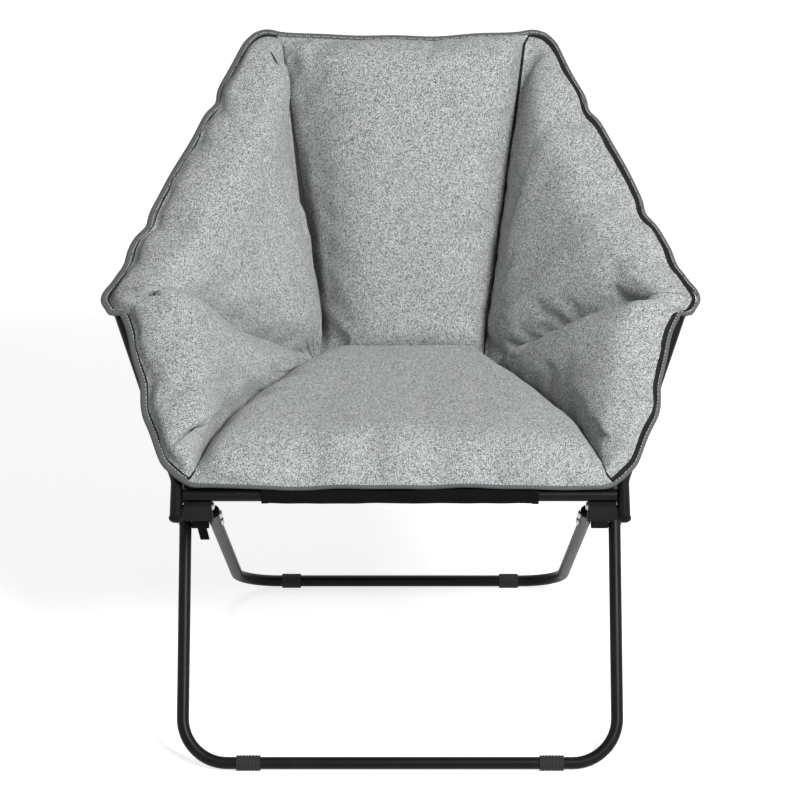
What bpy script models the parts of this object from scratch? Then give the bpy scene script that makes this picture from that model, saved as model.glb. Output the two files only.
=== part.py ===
"""Folding hexagonal bucket chair: a padded six-panel cover on a hexagon of steel tube, carried by two crossing U legs.

Metres, +Z up, the sitter faces -Y. The origin is on the floor, in the middle of the chair's box.
"""

import math

import bmesh
import bpy
from mathutils import Matrix, Vector

# Tubes
TUBE_R = 0.008
TUBE_SIDES = 12
BEND_R = 0.058
BEND_STEPS = 6
FIT = 0.0003  # gap between pieces that touch

# Legs, in the side view: places behind the front rail's own zero and heights over the floor
REAR_LEG_HALF = 0.241  # from the chair's middle to the tube's; the rest of its width follows
LEG_GAP = 0.023  # between the rear leg's tube and the front leg's
FRONT_FOOT_Y = -0.032
REAR_FOOT_Y = 0.461
PIVOT_Y = 0.1534
PIVOT_Z = 0.2638
LEG_END = 0.014  # tube past its last bolt
REAR_TOE_IN = 0.012  # how much nearer the middle the rear leg's uprights are at the floor

# Feet: sleeves on the floor bars, cut flat where they stand
SLEEVE_R = 0.0102
SLEEVE_CUT = 0.0012
FRONT_SLEEVE_IN = 0.085  # from the upright's middle to the sleeve's
FRONT_SLEEVE_LENGTH = 0.031
FRONT_SLEEVE_RIBS = 7
RIB_DEPTH = 0.0007
REAR_SLEEVE_IN = 0.086
REAR_SLEEVE_LENGTH = 0.027

# Seat ring: a flat hexagon that leans back. Along it S runs up from the front rail, N stands up from its plane
RING_TILT = math.radians(38.0)
FRONT_RAIL_Y = 0.035
FRONT_RAIL_Z = 0.361
SIDE_END_OUT = 0.0010  # the side tubes' front ends, outside the front leg's middle
SIDE_KNEE_S = 0.0206  # where the side tubes turn straight ahead
SIDE_OVERHANG = 0.030
ARM_OUT = 0.088
ARM_S = 0.275
TOP_IN = 0.090
TOP_S = 0.675
RING_BEND_R = 0.034
ELBOW_HALF = 0.016
CAP_LENGTH = 0.007
CAP_LIP = 0.0008
RAIL_SLEEVE_R = 0.0116
RAIL_SLEEVE_GAP = 0.064  # between the sleeve's end and the bracket

# Pivots between ring, legs and links
BOLT_R = 0.003
BOLT_HEAD_R = 0.0056
BOLT_HEAD_H = 0.0034
LUG_DROP = 0.050
LUG_T = 0.0095
PLATE_R = 0.0105
SPACER_R = 0.0100
LINK_REACH = 0.040  # from the leg pivot to the link's bolt, along the rear leg
LINK_GAP = 0.0025  # between the rear leg's tube and the link
LINK_T = 0.0070
LINK_R = 0.0075
BRACKET_DROP = 0.032
CHEEK_GAP = 0.0072  # between the link and a cheek
CHEEK_T = 0.0060
HOOD_T = 0.0040
SLOT_RISE = 0.0110  # how far the link's pin rides up in the bracket's slot as the chair folds
SLOT_PLAY = 0.0012  # how far the slot is set back, and widened, for the pin's small arc

# Cover: its rim rides over the tube, and its seams meet at the two rear corners of the seat
RIM_N = 0.0124
RIM_FRONT_RISE = 0.0020  # more lift at the front, over the rail's sleeve
RIM_RISE_RUN = 0.080
RIM_FRONT_IN = 0.0090  # the rim's corners, from the ring's
RIM_FRONT_BACK = 0.003
RIM_ARM_OUT = 0.013
RIM_TOP_OUT = 0.008
RIM_TOP_OVER = 0.012
RIM_CORNER_R = 0.044
FLANGE = 0.018  # width of the rim that lies flat over the tube before the cover drops
FLANGE_ROWS = 2
CREASE_IN = 0.168  # from the front leg's middle
CREASE_Y = 0.420
CREASE_Z = 0.365
CREASE_ARCH = 0.007
SEAT_SEAM_OUT = 0.022  # how far the seat's side seams bow out and up between their ends
SEAT_SEAM_UP = 0.010
ARM_SEAM_LIFT = 0.028
PAD_EDGE = 0.0006
PAD_INSET = 0.0006
PAD_SHOULDER = 0.070
PAD_UNDERSIDE = 0.007
SEAT_CROWN = 0.034
BACK_CROWN = 0.018
WING_CROWN = 0.034
WING_TIP_GAP = 0.015  # a wing stops this far from the seat's rear corner
PAD_COLUMNS = 14
PAD_ROWS = 14
BINDING_R = 0.0030
BINDING_SIDES = 8

# Colours, roughness and metallic values
FABRIC = ("heather_fabric", (0.27, 0.28, 0.28), 0.92, 0.0)
LINING = ("black_lining", (0.012, 0.012, 0.013), 0.85, 0.0)
TRIM = ("edge_binding_tape", (0.16, 0.17, 0.17), 0.85, 0.0)
PAINT = ("black_paint", (0.010, 0.010, 0.011), 0.35, 0.6)
PLASTIC = ("black_plastic", (0.014, 0.014, 0.015), 0.50, 0.0)
RUBBER = ("foot_rubber", (0.013, 0.013, 0.013), 0.80, 0.0)
STEEL = ("zinc_steel", (0.55, 0.55, 0.56), 0.35, 1.0)

FOOT_Z = SLEEVE_R - SLEEVE_CUT
FRONT_LEG_HALF = REAR_LEG_HALF + 2 * TUBE_R + LEG_GAP
FRONT_SLEEVE_X = FRONT_LEG_HALF - FRONT_SLEEVE_IN
REAR_SLEEVE_X = REAR_LEG_HALF - REAR_SLEEVE_IN
SIDE_END_X = FRONT_LEG_HALF + SIDE_END_OUT
ARM_X = FRONT_LEG_HALF + ARM_OUT
TOP_X = FRONT_LEG_HALF - TOP_IN
CREASE_X = FRONT_LEG_HALF - CREASE_IN
LINK_X = REAR_LEG_HALF + TUBE_R + LINK_GAP
BRACKET_INNER_X = LINK_X - CHEEK_GAP - CHEEK_T
BRACKET_OUTER_X = LINK_X + LINK_T + CHEEK_GAP + CHEEK_T
RAIL_SLEEVE_HALF = BRACKET_INNER_X - RAIL_SLEEVE_GAP
LUG_X = FRONT_LEG_HALF - TUBE_R - FIT - LUG_T
LUG_S = ARM_S + (ARM_X - LUG_X - LUG_T / 2) / (ARM_X - TOP_X) * (TOP_S - ARM_S)  # where the hoop passes over the lug
RING_ALONG = Vector((0.0, math.cos(RING_TILT), math.sin(RING_TILT)))
RING_UP = Vector((0.0, -math.sin(RING_TILT), math.cos(RING_TILT)))
FRONTMOST = FRONT_FOOT_Y - SLEEVE_R
REARMOST = FRONT_RAIL_Y + TOP_S * RING_ALONG.y + TUBE_R
MIDDLE_Y = (FRONTMOST + REARMOST) / 2


def spot(x, y, z):
    """A point given from the side view's zero, moved so that the box's middle is the origin."""
    return Vector((x, y - MIDDLE_Y, z))


def ring_spot(x, along, up):
    """A point of the seat ring: across, along its slope and up from its plane."""
    return spot(x, FRONT_RAIL_Y, FRONT_RAIL_Z) + along * RING_ALONG + up * RING_UP


PIVOT = spot(0.0, PIVOT_Y, PIVOT_Z)
FRONT_FOOT = spot(0.0, FRONT_FOOT_Y, FOOT_Z)
REAR_FOOT = spot(0.0, REAR_FOOT_Y, FOOT_Z)
LUG = ring_spot(0.0, LUG_S, -LUG_DROP)
BRACKET = ring_spot(0.0, 0.0, -BRACKET_DROP)
REAR_LEG_UP = (PIVOT - REAR_FOOT).normalized()
LINK = PIVOT + LINK_REACH * REAR_LEG_UP
ROOT = Vector((0.0, 0.0, 0.0))


def clear_scene():
    for thing in list(bpy.data.objects):
        bpy.data.objects.remove(thing)


def finish(look):
    """The material of this look, made once."""
    name, colour, roughness, metallic = look
    made = bpy.data.materials.get(name)
    if made:
        return made
    made = bpy.data.materials.new(name)
    made.use_nodes = True
    shader = made.node_tree.nodes["Principled BSDF"]
    shader.inputs["Base Color"].default_value = (*colour, 1.0)
    shader.inputs["Roughness"].default_value = roughness
    shader.inputs["Metallic"].default_value = metallic
    return made


def solid(name, points, faces, look, axis=ROOT):
    """One closed object from world points, with its origin on the axis that it turns about."""
    mesh = bpy.data.meshes.new(name)
    mesh.from_pydata([tuple(point - axis) for point in points], [], faces)
    shape = bmesh.new()
    shape.from_mesh(mesh)
    bmesh.ops.recalc_face_normals(shape, faces=shape.faces)
    shape.to_mesh(mesh)
    shape.free()
    mesh.shade_smooth()
    mesh.set_sharp_from_angle(angle=math.radians(40))
    thing = bpy.data.objects.new(name, mesh)
    thing.location = axis
    mesh.materials.append(finish(look))
    bpy.context.scene.collection.objects.link(thing)
    return thing


def loft(loops, closed=False):
    """Points and faces that join a row of equal loops, capped at both ends unless the row is closed."""
    count = len(loops[0])
    points = [point for loop in loops for point in loop]
    faces = []
    for row in range(len(loops) if closed else len(loops) - 1):
        here = row * count
        there = (row + 1) % len(loops) * count
        for i in range(count):
            j = (i + 1) % count
            faces.append((here + i, here + j, there + j, there + i))
    if not closed:
        faces.append(tuple(range(count)))
        faces.append(tuple(range(len(points) - count, len(points))))
    return points, faces


def circle(centre, first, second, radius, sides):
    """A loop of points round a centre, in the plane of two unit vectors."""
    turns = [2 * math.pi * (i + 0.5) / sides for i in range(sides)]
    return [centre + radius * (math.cos(turn) * first + math.sin(turn) * second) for turn in turns]


def rounded(path, radius):
    """A path whose inner corners are arcs of this radius."""
    points = [path[0]]
    for before, corner, after in zip(path, path[1:], path[2:]):
        into = (corner - before).normalized()
        out = (after - corner).normalized()
        half = into.angle(out) / 2
        centre = corner + (out - into).normalized() * radius / math.cos(half)
        start = corner - into * radius * math.tan(half) - centre
        spin = into.cross(out).normalized()
        for step in range(BEND_STEPS + 1):
            points.append(centre + Matrix.Rotation(2 * half * step / BEND_STEPS, 3, spin) @ start)
    return points + [path[-1]]


def tube(name, path, radius, look, axis=ROOT):
    """A round bar along a path, with flat ends. Its loops keep their turn from one point to the next."""
    ahead = [(b - a).normalized() for a, b in zip(path, path[1:])]
    side = ahead[0].orthogonal().normalized()
    loops = []
    for i, point in enumerate(path):
        before = ahead[max(i - 1, 0)]
        after = ahead[min(i, len(ahead) - 1)]
        middle = (before + after).normalized()
        side = (side - middle * side.dot(middle)).normalized()
        loops.append(circle(point, side, middle.cross(side), radius, TUBE_SIDES))
    return solid(name, *loft(loops), look, axis)


def turned(name, centre, direction, profile, look, axis=ROOT, sides=16):
    """A turned piece: (distance along the direction, radius) from one end to the other."""
    side = direction.orthogonal().normalized()
    other = direction.cross(side)
    loops = [circle(centre + along * direction, side, other, radius, sides) for along, radius in profile]
    return solid(name, *loft(loops), look, axis)


def cap(name, end, direction, look, axis=ROOT):
    """A domed plug over a tube's open end."""
    lip = TUBE_R + CAP_LIP
    profile = [(FIT, lip), (CAP_LENGTH * 0.45, lip), (CAP_LENGTH * 0.8, lip * 0.86), (CAP_LENGTH, lip * 0.55)]
    return turned(name, end, direction, profile, look, axis)


def bolt(name, centre, near, far, side, axis=ROOT):
    """A bolt across the chair with a domed head past each outer face, near and far being those faces."""
    start = near - FIT
    stop = far + FIT
    profile = [
        (start - BOLT_HEAD_H, BOLT_HEAD_R * 0.6),
        (start - BOLT_HEAD_H * 0.6, BOLT_HEAD_R),
        (start, BOLT_HEAD_R),
        (start, BOLT_R),
        (stop, BOLT_R),
        (stop, BOLT_HEAD_R),
        (stop + BOLT_HEAD_H * 0.6, BOLT_HEAD_R),
        (stop + BOLT_HEAD_H, BOLT_HEAD_R * 0.6),
    ]
    return turned(name, centre, Vector((side, 0.0, 0.0)), profile, STEEL, axis)


def plate(name, outline, near, far, side, look, holes, axis=ROOT):
    """A flat piece that lies in the side view, between two distances from the middle, with bolt holes."""
    loops = [[Vector((side * x, point.y, point.z)) for point in outline] for x in (near, far)]
    thing = solid(name, *loft(loops), look, axis)
    for number, hole in enumerate(holes):
        pierce(thing, f"{name}_hole_{number}", hole, near, far, side)
    return thing


def pierce(thing, name, hole, near, far, side):
    margin = TUBE_R
    across = Vector((side, 0.0, 0.0))
    loops = [
        circle(Vector((0.0, hole.y, hole.z)) + along * across, Vector((0, 1, 0)), Vector((0, 0, 1)), BOLT_R + FIT, 16)
        for along in (near - margin, far + margin)
    ]
    cut_with(thing, solid("cutter_" + name, *loft(loops), STEEL), "DIFFERENCE")


def cut_with(thing, helper, operation):
    """Cuts a hidden helper out of a piece, or joins it on."""
    helper.hide_render = True
    helper.display_type = "WIRE"
    change = thing.modifiers.new(helper.name, "BOOLEAN")
    change.operation = operation
    change.solver = "EXACT"
    change.object = helper


def capsule(start, end, radius, steps=8):
    """The outline of a bar with round ends, in the side view."""
    along = (end - start).normalized()
    across = Vector((0.0, -along.z, along.y))
    outline = []
    for centre, turn in ((end, 0.0), (start, math.pi)):
        for step in range(steps + 1):
            angle = turn + math.pi * (0.5 - step / steps)
            outline.append(centre + radius * (math.cos(angle) * along + math.sin(angle) * across))
    return outline


def leg(name, foot, joint, end, half, foot_half, look, axis):
    """A U of tube: up from its floor bar at one side, and the same at the other, bent a little at the joint."""
    stop = end + (end - joint).normalized() * LEG_END
    down = [Vector((half, point.y, point.z)) for point in (stop, joint)]
    down.append(Vector((foot_half, foot.y, foot.z)))
    path = rounded(down[1:] + [Vector((-p.x, p.y, p.z)) for p in reversed(down[1:])], BEND_R)
    path = [down[0]] + path + [Vector((-half, stop.y, stop.z))]
    thing = tube(name, path, TUBE_R, look, axis)
    for hole, label in ((joint, "joint"), (end, "end")):
        for side in (-1, 1):
            pierce(thing, f"{name}_{label}_{side}", hole, half - TUBE_R, half + TUBE_R, side)
    return thing


def foot_sleeve(name, centre, length, ribs, axis=ROOT):
    """A sleeve on a floor bar, cut flat underneath, with ribs along it where it has any."""
    loops = [(-length / 2, SLEEVE_R)]
    pitch = length / (ribs + 0.5)
    for rib in range(ribs):
        start = rib * pitch - length / 2
        groove = SLEEVE_R - RIB_DEPTH
        for share, radius in ((0.5, SLEEVE_R), (0.6, groove), (0.9, groove), (1.0, SLEEVE_R)):
            loops.append((start + share * pitch, radius))
    loops.append((length / 2, SLEEVE_R))
    sides = 20
    outer = []
    for place, radius in loops:
        middle = centre + Vector((place, 0.0, 0.0))
        ring = circle(middle, Vector((0, 1, 0)), Vector((0, 0, 1)), radius, sides)
        floor = centre.z - FOOT_Z
        outer.append([Vector((p.x, p.y, max(p.z, floor))) for p in ring])
    bore = TUBE_R + FIT
    inner = [
        circle(centre + Vector((place, 0, 0)), Vector((0, 1, 0)), Vector((0, 0, 1)), bore, sides)
        for place in (length / 2, -length / 2)
    ]
    return solid(name, *loft(outer + inner, closed=True), RUBBER, axis)


def rim_edge(corners, number, inset):
    """One side of the cover's rim in the ring's plane, from the middle of one round corner to that of the next."""
    moved = [inset_corner(corners, number + i, inset) for i in range(-1, 3)]
    first = rounded(moved[:3], RIM_CORNER_R - inset)[1:-1]
    second = rounded(moved[1:], RIM_CORNER_R - inset)[1:-1]
    return first[BEND_STEPS // 2:] + second[: BEND_STEPS // 2 + 1]


def inset_corner(corners, number, inset):
    """A corner of the rim, moved in so that both its sides are this much further in."""
    before, corner, after = [Vector((*corners[(number + i) % len(corners)], 0.0)) for i in (-1, 0, 1)]
    into = (corner - before).normalized()
    out = (after - corner).normalized()
    half = into.angle(out) / 2
    return corner + (out - into).normalized() * inset / math.cos(half)


def rim_line(corners, number, inset):
    """Even points of one side of the rim, in the world."""
    points = []
    for point in spread(rim_edge(corners, number, inset), PAD_COLUMNS):
        points.append(ring_spot(point.x, point.y, rim_up(point.y)))
    return points


def rim_up(along):
    return RIM_N + RIM_FRONT_RISE * max(1.0 - along / RIM_RISE_RUN, 0.0)


def spread(path, count):
    """Points at even steps along a path."""
    lengths = [0.0]
    for a, b in zip(path, path[1:]):
        lengths.append(lengths[-1] + (b - a).length)
    points = []
    for i in range(count + 1):
        want = lengths[-1] * i / count
        k = max(j for j in range(len(path) - 1) if lengths[j] <= want + 1e-9)
        share = (want - lengths[k]) / (lengths[k + 1] - lengths[k])
        points.append(path[k].lerp(path[k + 1], min(share, 1.0)))
    return points


def shoulder(distance):
    """How full a pad is at this distance from its seam: 0 on the seam, 1 past the shoulder."""
    short = max(1.0 - distance / PAD_SHOULDER, 0.0)
    return 1.0 - short * short


def pad(name, grid, crown, axis):
    """A crowned cushion on a grid of points, drawn in to a thin seam along all its sides."""
    rows, columns = len(grid), len(grid[0])
    full = [[1.0] * columns for _ in range(rows)]
    for lines in (
        [[(r, c) for c in range(columns)] for r in range(rows)],
        [[(r, c) for r in range(rows)] for c in range(columns)],
    ):
        for line in lines:
            for way in (line, line[::-1]):
                gone = 0.0
                last = way[0]
                for r, c in way:
                    gone += (grid[r][c] - grid[last[0]][last[1]]).length
                    last = (r, c)
                    full[r][c] *= shoulder(gone)
    edge = [row[:] for row in grid]
    for r in range(rows):
        for c in range(columns):
            inner_r = min(max(r, 1), rows - 2)
            inner_c = min(max(c, 1), columns - 2)
            for neighbour in {(inner_r, c), (r, inner_c)} - {(r, c)}:
                step = grid[neighbour[0]][neighbour[1]] - grid[r][c]
                edge[r][c] = edge[r][c] + step.normalized() * PAD_INSET
    top, under = [], []
    for r in range(rows):
        for c in range(columns):
            across = grid[r][min(c + 1, columns - 1)] - grid[r][max(c - 1, 0)]
            along = grid[min(r + 1, rows - 1)][c] - grid[max(r - 1, 0)][c]
            normal = across.cross(along).normalized()
            normal = normal if normal.dot(RING_UP) > 0 else -normal
            top.append(edge[r][c] + normal * (PAD_EDGE + crown * full[r][c]))
            under.append(edge[r][c] - normal * (PAD_EDGE + PAD_UNDERSIDE * full[r][c] ** 2))
    points = top + under
    base = len(top)
    faces = []
    for r in range(rows - 1):
        for c in range(columns - 1):
            quad = (r * columns + c, r * columns + c + 1, (r + 1) * columns + c + 1, (r + 1) * columns + c)
            faces.append(quad)
            faces.append(tuple(base + i for i in reversed(quad)))
    border = [c for c in range(columns)]
    border += [r * columns + columns - 1 for r in range(1, rows)]
    border += [(rows - 1) * columns + c for c in range(columns - 2, -1, -1)]
    border += [r * columns for r in range(rows - 2, 0, -1)]
    for i, j in zip(border, border[1:] + border[:1]):
        faces.append((i, base + i, base + j, j))
    return solid(name, points, faces, FABRIC, axis)


def crease_spot(side):
    return spot(side * CREASE_X, CREASE_Y, CREASE_Z)


def ruled_grid(rim, flange, far):
    """A grid from the rim over the flat flange and then down to the far line, one row at a time."""
    grid = [[a.lerp(b, row / FLANGE_ROWS) for a, b in zip(rim, flange)] for row in range(FLANGE_ROWS)]
    steps = PAD_ROWS - FLANGE_ROWS
    for row in range(steps + 1):
        grid.append([a.lerp(b, row / steps) for a, b in zip(flange, far)])
    return grid


def bow(share):
    """A smooth rise along a seam: 0 at its ends, 1 half way."""
    return 4 * share * (1 - share)


def seat_grid(rim, flange, far):
    """The seat's grid, with its side seams bowed."""
    grid = ruled_grid(rim, flange, far)
    steps = PAD_ROWS - FLANGE_ROWS
    for row in range(steps + 1):
        for column in range(PAD_COLUMNS + 1):
            across = 2 * column / PAD_COLUMNS - 1
            near_seam = bow(row / steps) * abs(across) ** 3
            shift = Vector((math.copysign(SEAT_SEAM_OUT, across), 0.0, SEAT_SEAM_UP))
            grid[FLANGE_ROWS + row][column] += near_seam * shift
    return grid


def wing_grid(rim, flange, side, upper):
    """A grid that narrows from the rim to the seat's rear corner and follows the seams beside it.

    The seam from the arm corner is lifted, and a lower wing's other seam bows with the seat's.
    """
    tip = crease_spot(side)
    grid = ruled_grid(rim, flange, [tip + (point - tip).normalized() * WING_TIP_GAP for point in flange])
    steps = PAD_ROWS - FLANGE_ROWS
    arm_first = upper == (side > 0)
    seat_shift = Vector((side * SEAT_SEAM_OUT, 0.0, SEAT_SEAM_UP))
    for row in range(steps + 1):
        for column, point in enumerate(flange):
            share = bow(row / steps * (1.0 - WING_TIP_GAP / (point - tip).length))
            from_arm = column / PAD_COLUMNS if arm_first else 1.0 - column / PAD_COLUMNS
            shift = ARM_SEAM_LIFT * (1.0 - from_arm) ** 2 * RING_UP
            if not upper:
                shift = shift + from_arm**2 * seat_shift
            grid[FLANGE_ROWS + row][column] += share * shift
    return grid


def build_legs():
    leg("front_leg", FRONT_FOOT, PIVOT, LUG, FRONT_LEG_HALF, FRONT_LEG_HALF, PAINT, ROOT)
    leg("rear_leg", REAR_FOOT, PIVOT, LINK, REAR_LEG_HALF, REAR_LEG_HALF - REAR_TOE_IN, PAINT, PIVOT)
    for side, word in ((-1, "left"), (1, "right")):
        front_up = (LUG - PIVOT).normalized()
        top = Vector((side * FRONT_LEG_HALF, LUG.y, LUG.z)) + front_up * LEG_END
        cap(f"front_leg_cap_{word}", top, front_up, PLASTIC)
        top = Vector((side * REAR_LEG_HALF, LINK.y, LINK.z)) + REAR_LEG_UP * LEG_END
        cap(f"rear_leg_cap_{word}", top, REAR_LEG_UP, PLASTIC, PIVOT)
        middle = FRONT_FOOT + Vector((side * FRONT_SLEEVE_X, 0, 0))
        foot_sleeve(f"front_foot_{word}", middle, FRONT_SLEEVE_LENGTH, FRONT_SLEEVE_RIBS)
        middle = REAR_FOOT + Vector((side * REAR_SLEEVE_X, 0, 0))
        foot_sleeve(f"rear_foot_{word}", middle, REAR_SLEEVE_LENGTH, 0, PIVOT)


def build_pivots():
    inner, outer = REAR_LEG_HALF + TUBE_R, FRONT_LEG_HALF - TUBE_R
    for side, word in ((-1, "left"), (1, "right")):
        bolt(f"leg_pivot_bolt_{word}", PIVOT, REAR_LEG_HALF - TUBE_R, FRONT_LEG_HALF + TUBE_R, side)
        bolt(f"ring_bolt_{word}", LUG, LUG_X, FRONT_LEG_HALF + TUBE_R, side)
        bolt(f"link_bolt_{word}", LINK, REAR_LEG_HALF - TUBE_R, LINK_X + LINK_T, side, PIVOT)
        spacer = circle(PIVOT, Vector((0, 1, 0)), Vector((0, 0, 1)), SPACER_R, 20)
        plate(f"pivot_spacer_{word}", spacer, inner + FIT, outer - FIT, side, PLASTIC, [PIVOT])
        bar = capsule(LINK, BRACKET, LINK_R)
        plate(f"side_link_{word}", bar, LINK_X, LINK_X + LINK_T, side, PLASTIC, [LINK, BRACKET], LINK)
        bolt(f"link_pin_{word}", BRACKET, BRACKET_INNER_X, BRACKET_OUTER_X, side, LINK)


def build_ring():
    for side, word in ((-1, "left"), (1, "right")):
        arm = ring_spot(side * ARM_X, ARM_S, 0.0)
        front = ring_spot(side * SIDE_END_X, -SIDE_OVERHANG, 0.0)
        top = ring_spot(side * TOP_X, TOP_S, 0.0)
        knee = ring_spot(side * SIDE_END_X, SIDE_KNEE_S, 0.0)
        to_knee = (knee - arm).normalized()
        to_top = (top - arm).normalized()
        bent = rounded([arm + to_knee * (ELBOW_HALF + FIT), knee, front], RING_BEND_R)
        tube(f"side_tube_{word}", bent, TUBE_R, PAINT, LUG)
        cap(f"side_tube_cap_{word}", front, (front - knee).normalized(), PLASTIC, LUG)
        elbow = rounded([arm + to_knee * ELBOW_HALF, arm, arm + to_top * ELBOW_HALF], RING_BEND_R)
        tube(f"arm_elbow_{word}", elbow, TUBE_R + CAP_LIP, PLASTIC, LUG)
        lug = capsule(LUG, ring_spot(0.0, LUG_S, -(TUBE_R + FIT + PLATE_R)), PLATE_R)
        plate(f"ring_lug_{word}", lug, LUG_X, LUG_X + LUG_T, side, PLASTIC, [LUG], LUG)
    build_back_hoop()
    build_front_rail()


def build_back_hoop():
    hoop = []
    for side in (-1, 1):
        arm = ring_spot(side * ARM_X, ARM_S, 0.0)
        top = ring_spot(side * TOP_X, TOP_S, 0.0)
        start = arm + (top - arm).normalized() * (ELBOW_HALF + FIT)
        hoop += [start, top] if side < 0 else [top, start]
    tube("back_hoop", rounded(hoop, RING_BEND_R), TUBE_R, PAINT, LUG)


def build_front_rail():
    half = SIDE_END_X - TUBE_R - FIT
    tube("front_rail", [ring_spot(-half, 0, 0), ring_spot(half, 0, 0)], TUBE_R, PAINT, LUG)
    bore = TUBE_R + FIT
    ends = ring_spot(-RAIL_SLEEVE_HALF, 0, 0), ring_spot(RAIL_SLEEVE_HALF, 0, 0)
    loops = [circle(end, RING_ALONG, RING_UP, RAIL_SLEEVE_R, TUBE_SIDES) for end in ends]
    loops += [circle(end, RING_ALONG, RING_UP, bore, TUBE_SIDES) for end in reversed(ends)]
    solid("rail_sleeve", *loft(loops, closed=True), LINING, LUG)
    for side, word in ((-1, "left"), (1, "right")):
        build_bracket(word, side)


def build_bracket(word, side):
    """A channel that hangs under the front rail: a hood against the tube and two cheeks with the link between them."""
    hood_top = -(TUBE_R + FIT)
    hood_bottom = hood_top - HOOD_T
    inner, outer = BRACKET_INNER_X, BRACKET_OUTER_X
    profile = [
        (inner, -BRACKET_DROP),
        (inner, hood_top),
        (outer, hood_top),
        (outer, -BRACKET_DROP),
        (outer - CHEEK_T, -BRACKET_DROP),
        (outer - CHEEK_T, hood_bottom),
        (inner + CHEEK_T, hood_bottom),
        (inner + CHEEK_T, -BRACKET_DROP),
    ]
    loops = []
    for along in (-PLATE_R, PLATE_R):
        loops.append([ring_spot(side * x, along, n) for x, n in profile])
    bracket = solid(f"corner_bracket_{word}", *loft(loops), PLASTIC, LUG)
    for number, near in enumerate((inner, outer - CHEEK_T)):
        round_end = capsule(BRACKET, BRACKET + RING_UP * PLATE_R / 2, PLATE_R)
        ends = [[Vector((side * x, p.y, p.z)) for p in round_end] for x in (near, near + CHEEK_T)]
        cut_with(bracket, solid(f"cheek_{number}_{word}", *loft(ends), PLASTIC), "UNION")
    low = BRACKET + RING_ALONG * SLOT_PLAY
    slot = capsule(low, low + RING_UP * SLOT_RISE, BOLT_R + FIT + SLOT_PLAY)
    margin = TUBE_R
    ends = [[Vector((side * x, p.y, p.z)) for p in slot] for x in (inner - margin, outer + margin)]
    cut_with(bracket, solid(f"cutter_slot_{word}", *loft(ends), STEEL), "DIFFERENCE")


def build_cover():
    right = [
        (SIDE_END_X - RIM_FRONT_IN, RIM_FRONT_BACK),
        (ARM_X + RIM_ARM_OUT, ARM_S),
        (TOP_X + RIM_TOP_OUT, TOP_S + RIM_TOP_OVER),
    ]
    left = [(-x, along) for x, along in right]
    corners = [left[0], *right, left[2], left[1]]
    rims = [rim_line(corners, number, 0.0) for number in range(len(corners))]
    flanges = [rim_line(corners, number, FLANGE) for number in range(len(corners))]
    crease = []
    for i in range(PAD_COLUMNS + 1):
        share = i / PAD_COLUMNS
        point = crease_spot(-1).lerp(crease_spot(1), share)
        crease.append(point + Vector((0.0, 0.0, CREASE_ARCH * 4 * share * (1 - share))))
    pad("seat_pad", seat_grid(rims[0], flanges[0], crease), SEAT_CROWN, LUG)
    pad("back_pad", ruled_grid(rims[3], flanges[3], crease[::-1]), BACK_CROWN, LUG)
    for number, name, side, upper in (
        (1, "lower_wing_right", 1, False),
        (2, "upper_wing_right", 1, True),
        (4, "upper_wing_left", -1, True),
        (5, "lower_wing_left", -1, False),
    ):
        pad(name, wing_grid(rims[number], flanges[number], side, upper), WING_CROWN, LUG)
    outline = []
    for number in range(len(corners)):
        outline += rim_edge(corners, number, 0.0)[:-1]
    build_binding(outline)


def build_binding(outline):
    """The tape sewn round the rim: a closed cord just outside the pads."""
    reach = BINDING_R * math.cos(math.pi / BINDING_SIDES) + FIT - PAD_INSET
    loops = []
    for i, point in enumerate(outline):
        ahead = (outline[(i + 1) % len(outline)] - outline[i - 1]).normalized()
        out = Vector((ahead.y, -ahead.x, 0.0))
        place = point + out * reach
        centre = ring_spot(place.x, place.y, rim_up(point.y))
        outward = Vector((out.x, 0, 0)) + out.y * RING_ALONG
        loops.append(circle(centre, outward, RING_UP, BINDING_R, BINDING_SIDES))
    solid("edge_binding", *loft(loops, closed=True), TRIM, LUG)


def main():
    clear_scene()
    build_legs()
    build_pivots()
    build_ring()
    build_cover()


main()
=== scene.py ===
"""Dresses the folding bucket chair: padded cover, binding, tubes, feet and fittings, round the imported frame."""

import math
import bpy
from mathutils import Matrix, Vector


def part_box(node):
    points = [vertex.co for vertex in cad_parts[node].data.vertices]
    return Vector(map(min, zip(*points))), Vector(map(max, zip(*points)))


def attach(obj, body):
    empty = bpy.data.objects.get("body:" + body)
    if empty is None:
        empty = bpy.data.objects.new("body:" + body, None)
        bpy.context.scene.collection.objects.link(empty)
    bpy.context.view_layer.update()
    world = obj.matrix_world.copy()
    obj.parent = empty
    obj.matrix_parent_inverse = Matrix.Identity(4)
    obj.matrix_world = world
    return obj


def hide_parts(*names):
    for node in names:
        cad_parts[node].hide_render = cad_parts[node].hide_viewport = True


bl_info = {
    "name": "Folding Bucket Chair",
    "version": (1, 0, 0),
    "blender": (4, 5, 0),
    "location": "View3D > Sidebar > Chair",
    "description": "Dresses the folding bucket chair's frame with its padded cover, tubes and fittings",
    "category": "Object",
}

from typing import NamedTuple

import bmesh
import bpy
from mathutils import Matrix, Vector, noise

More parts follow.
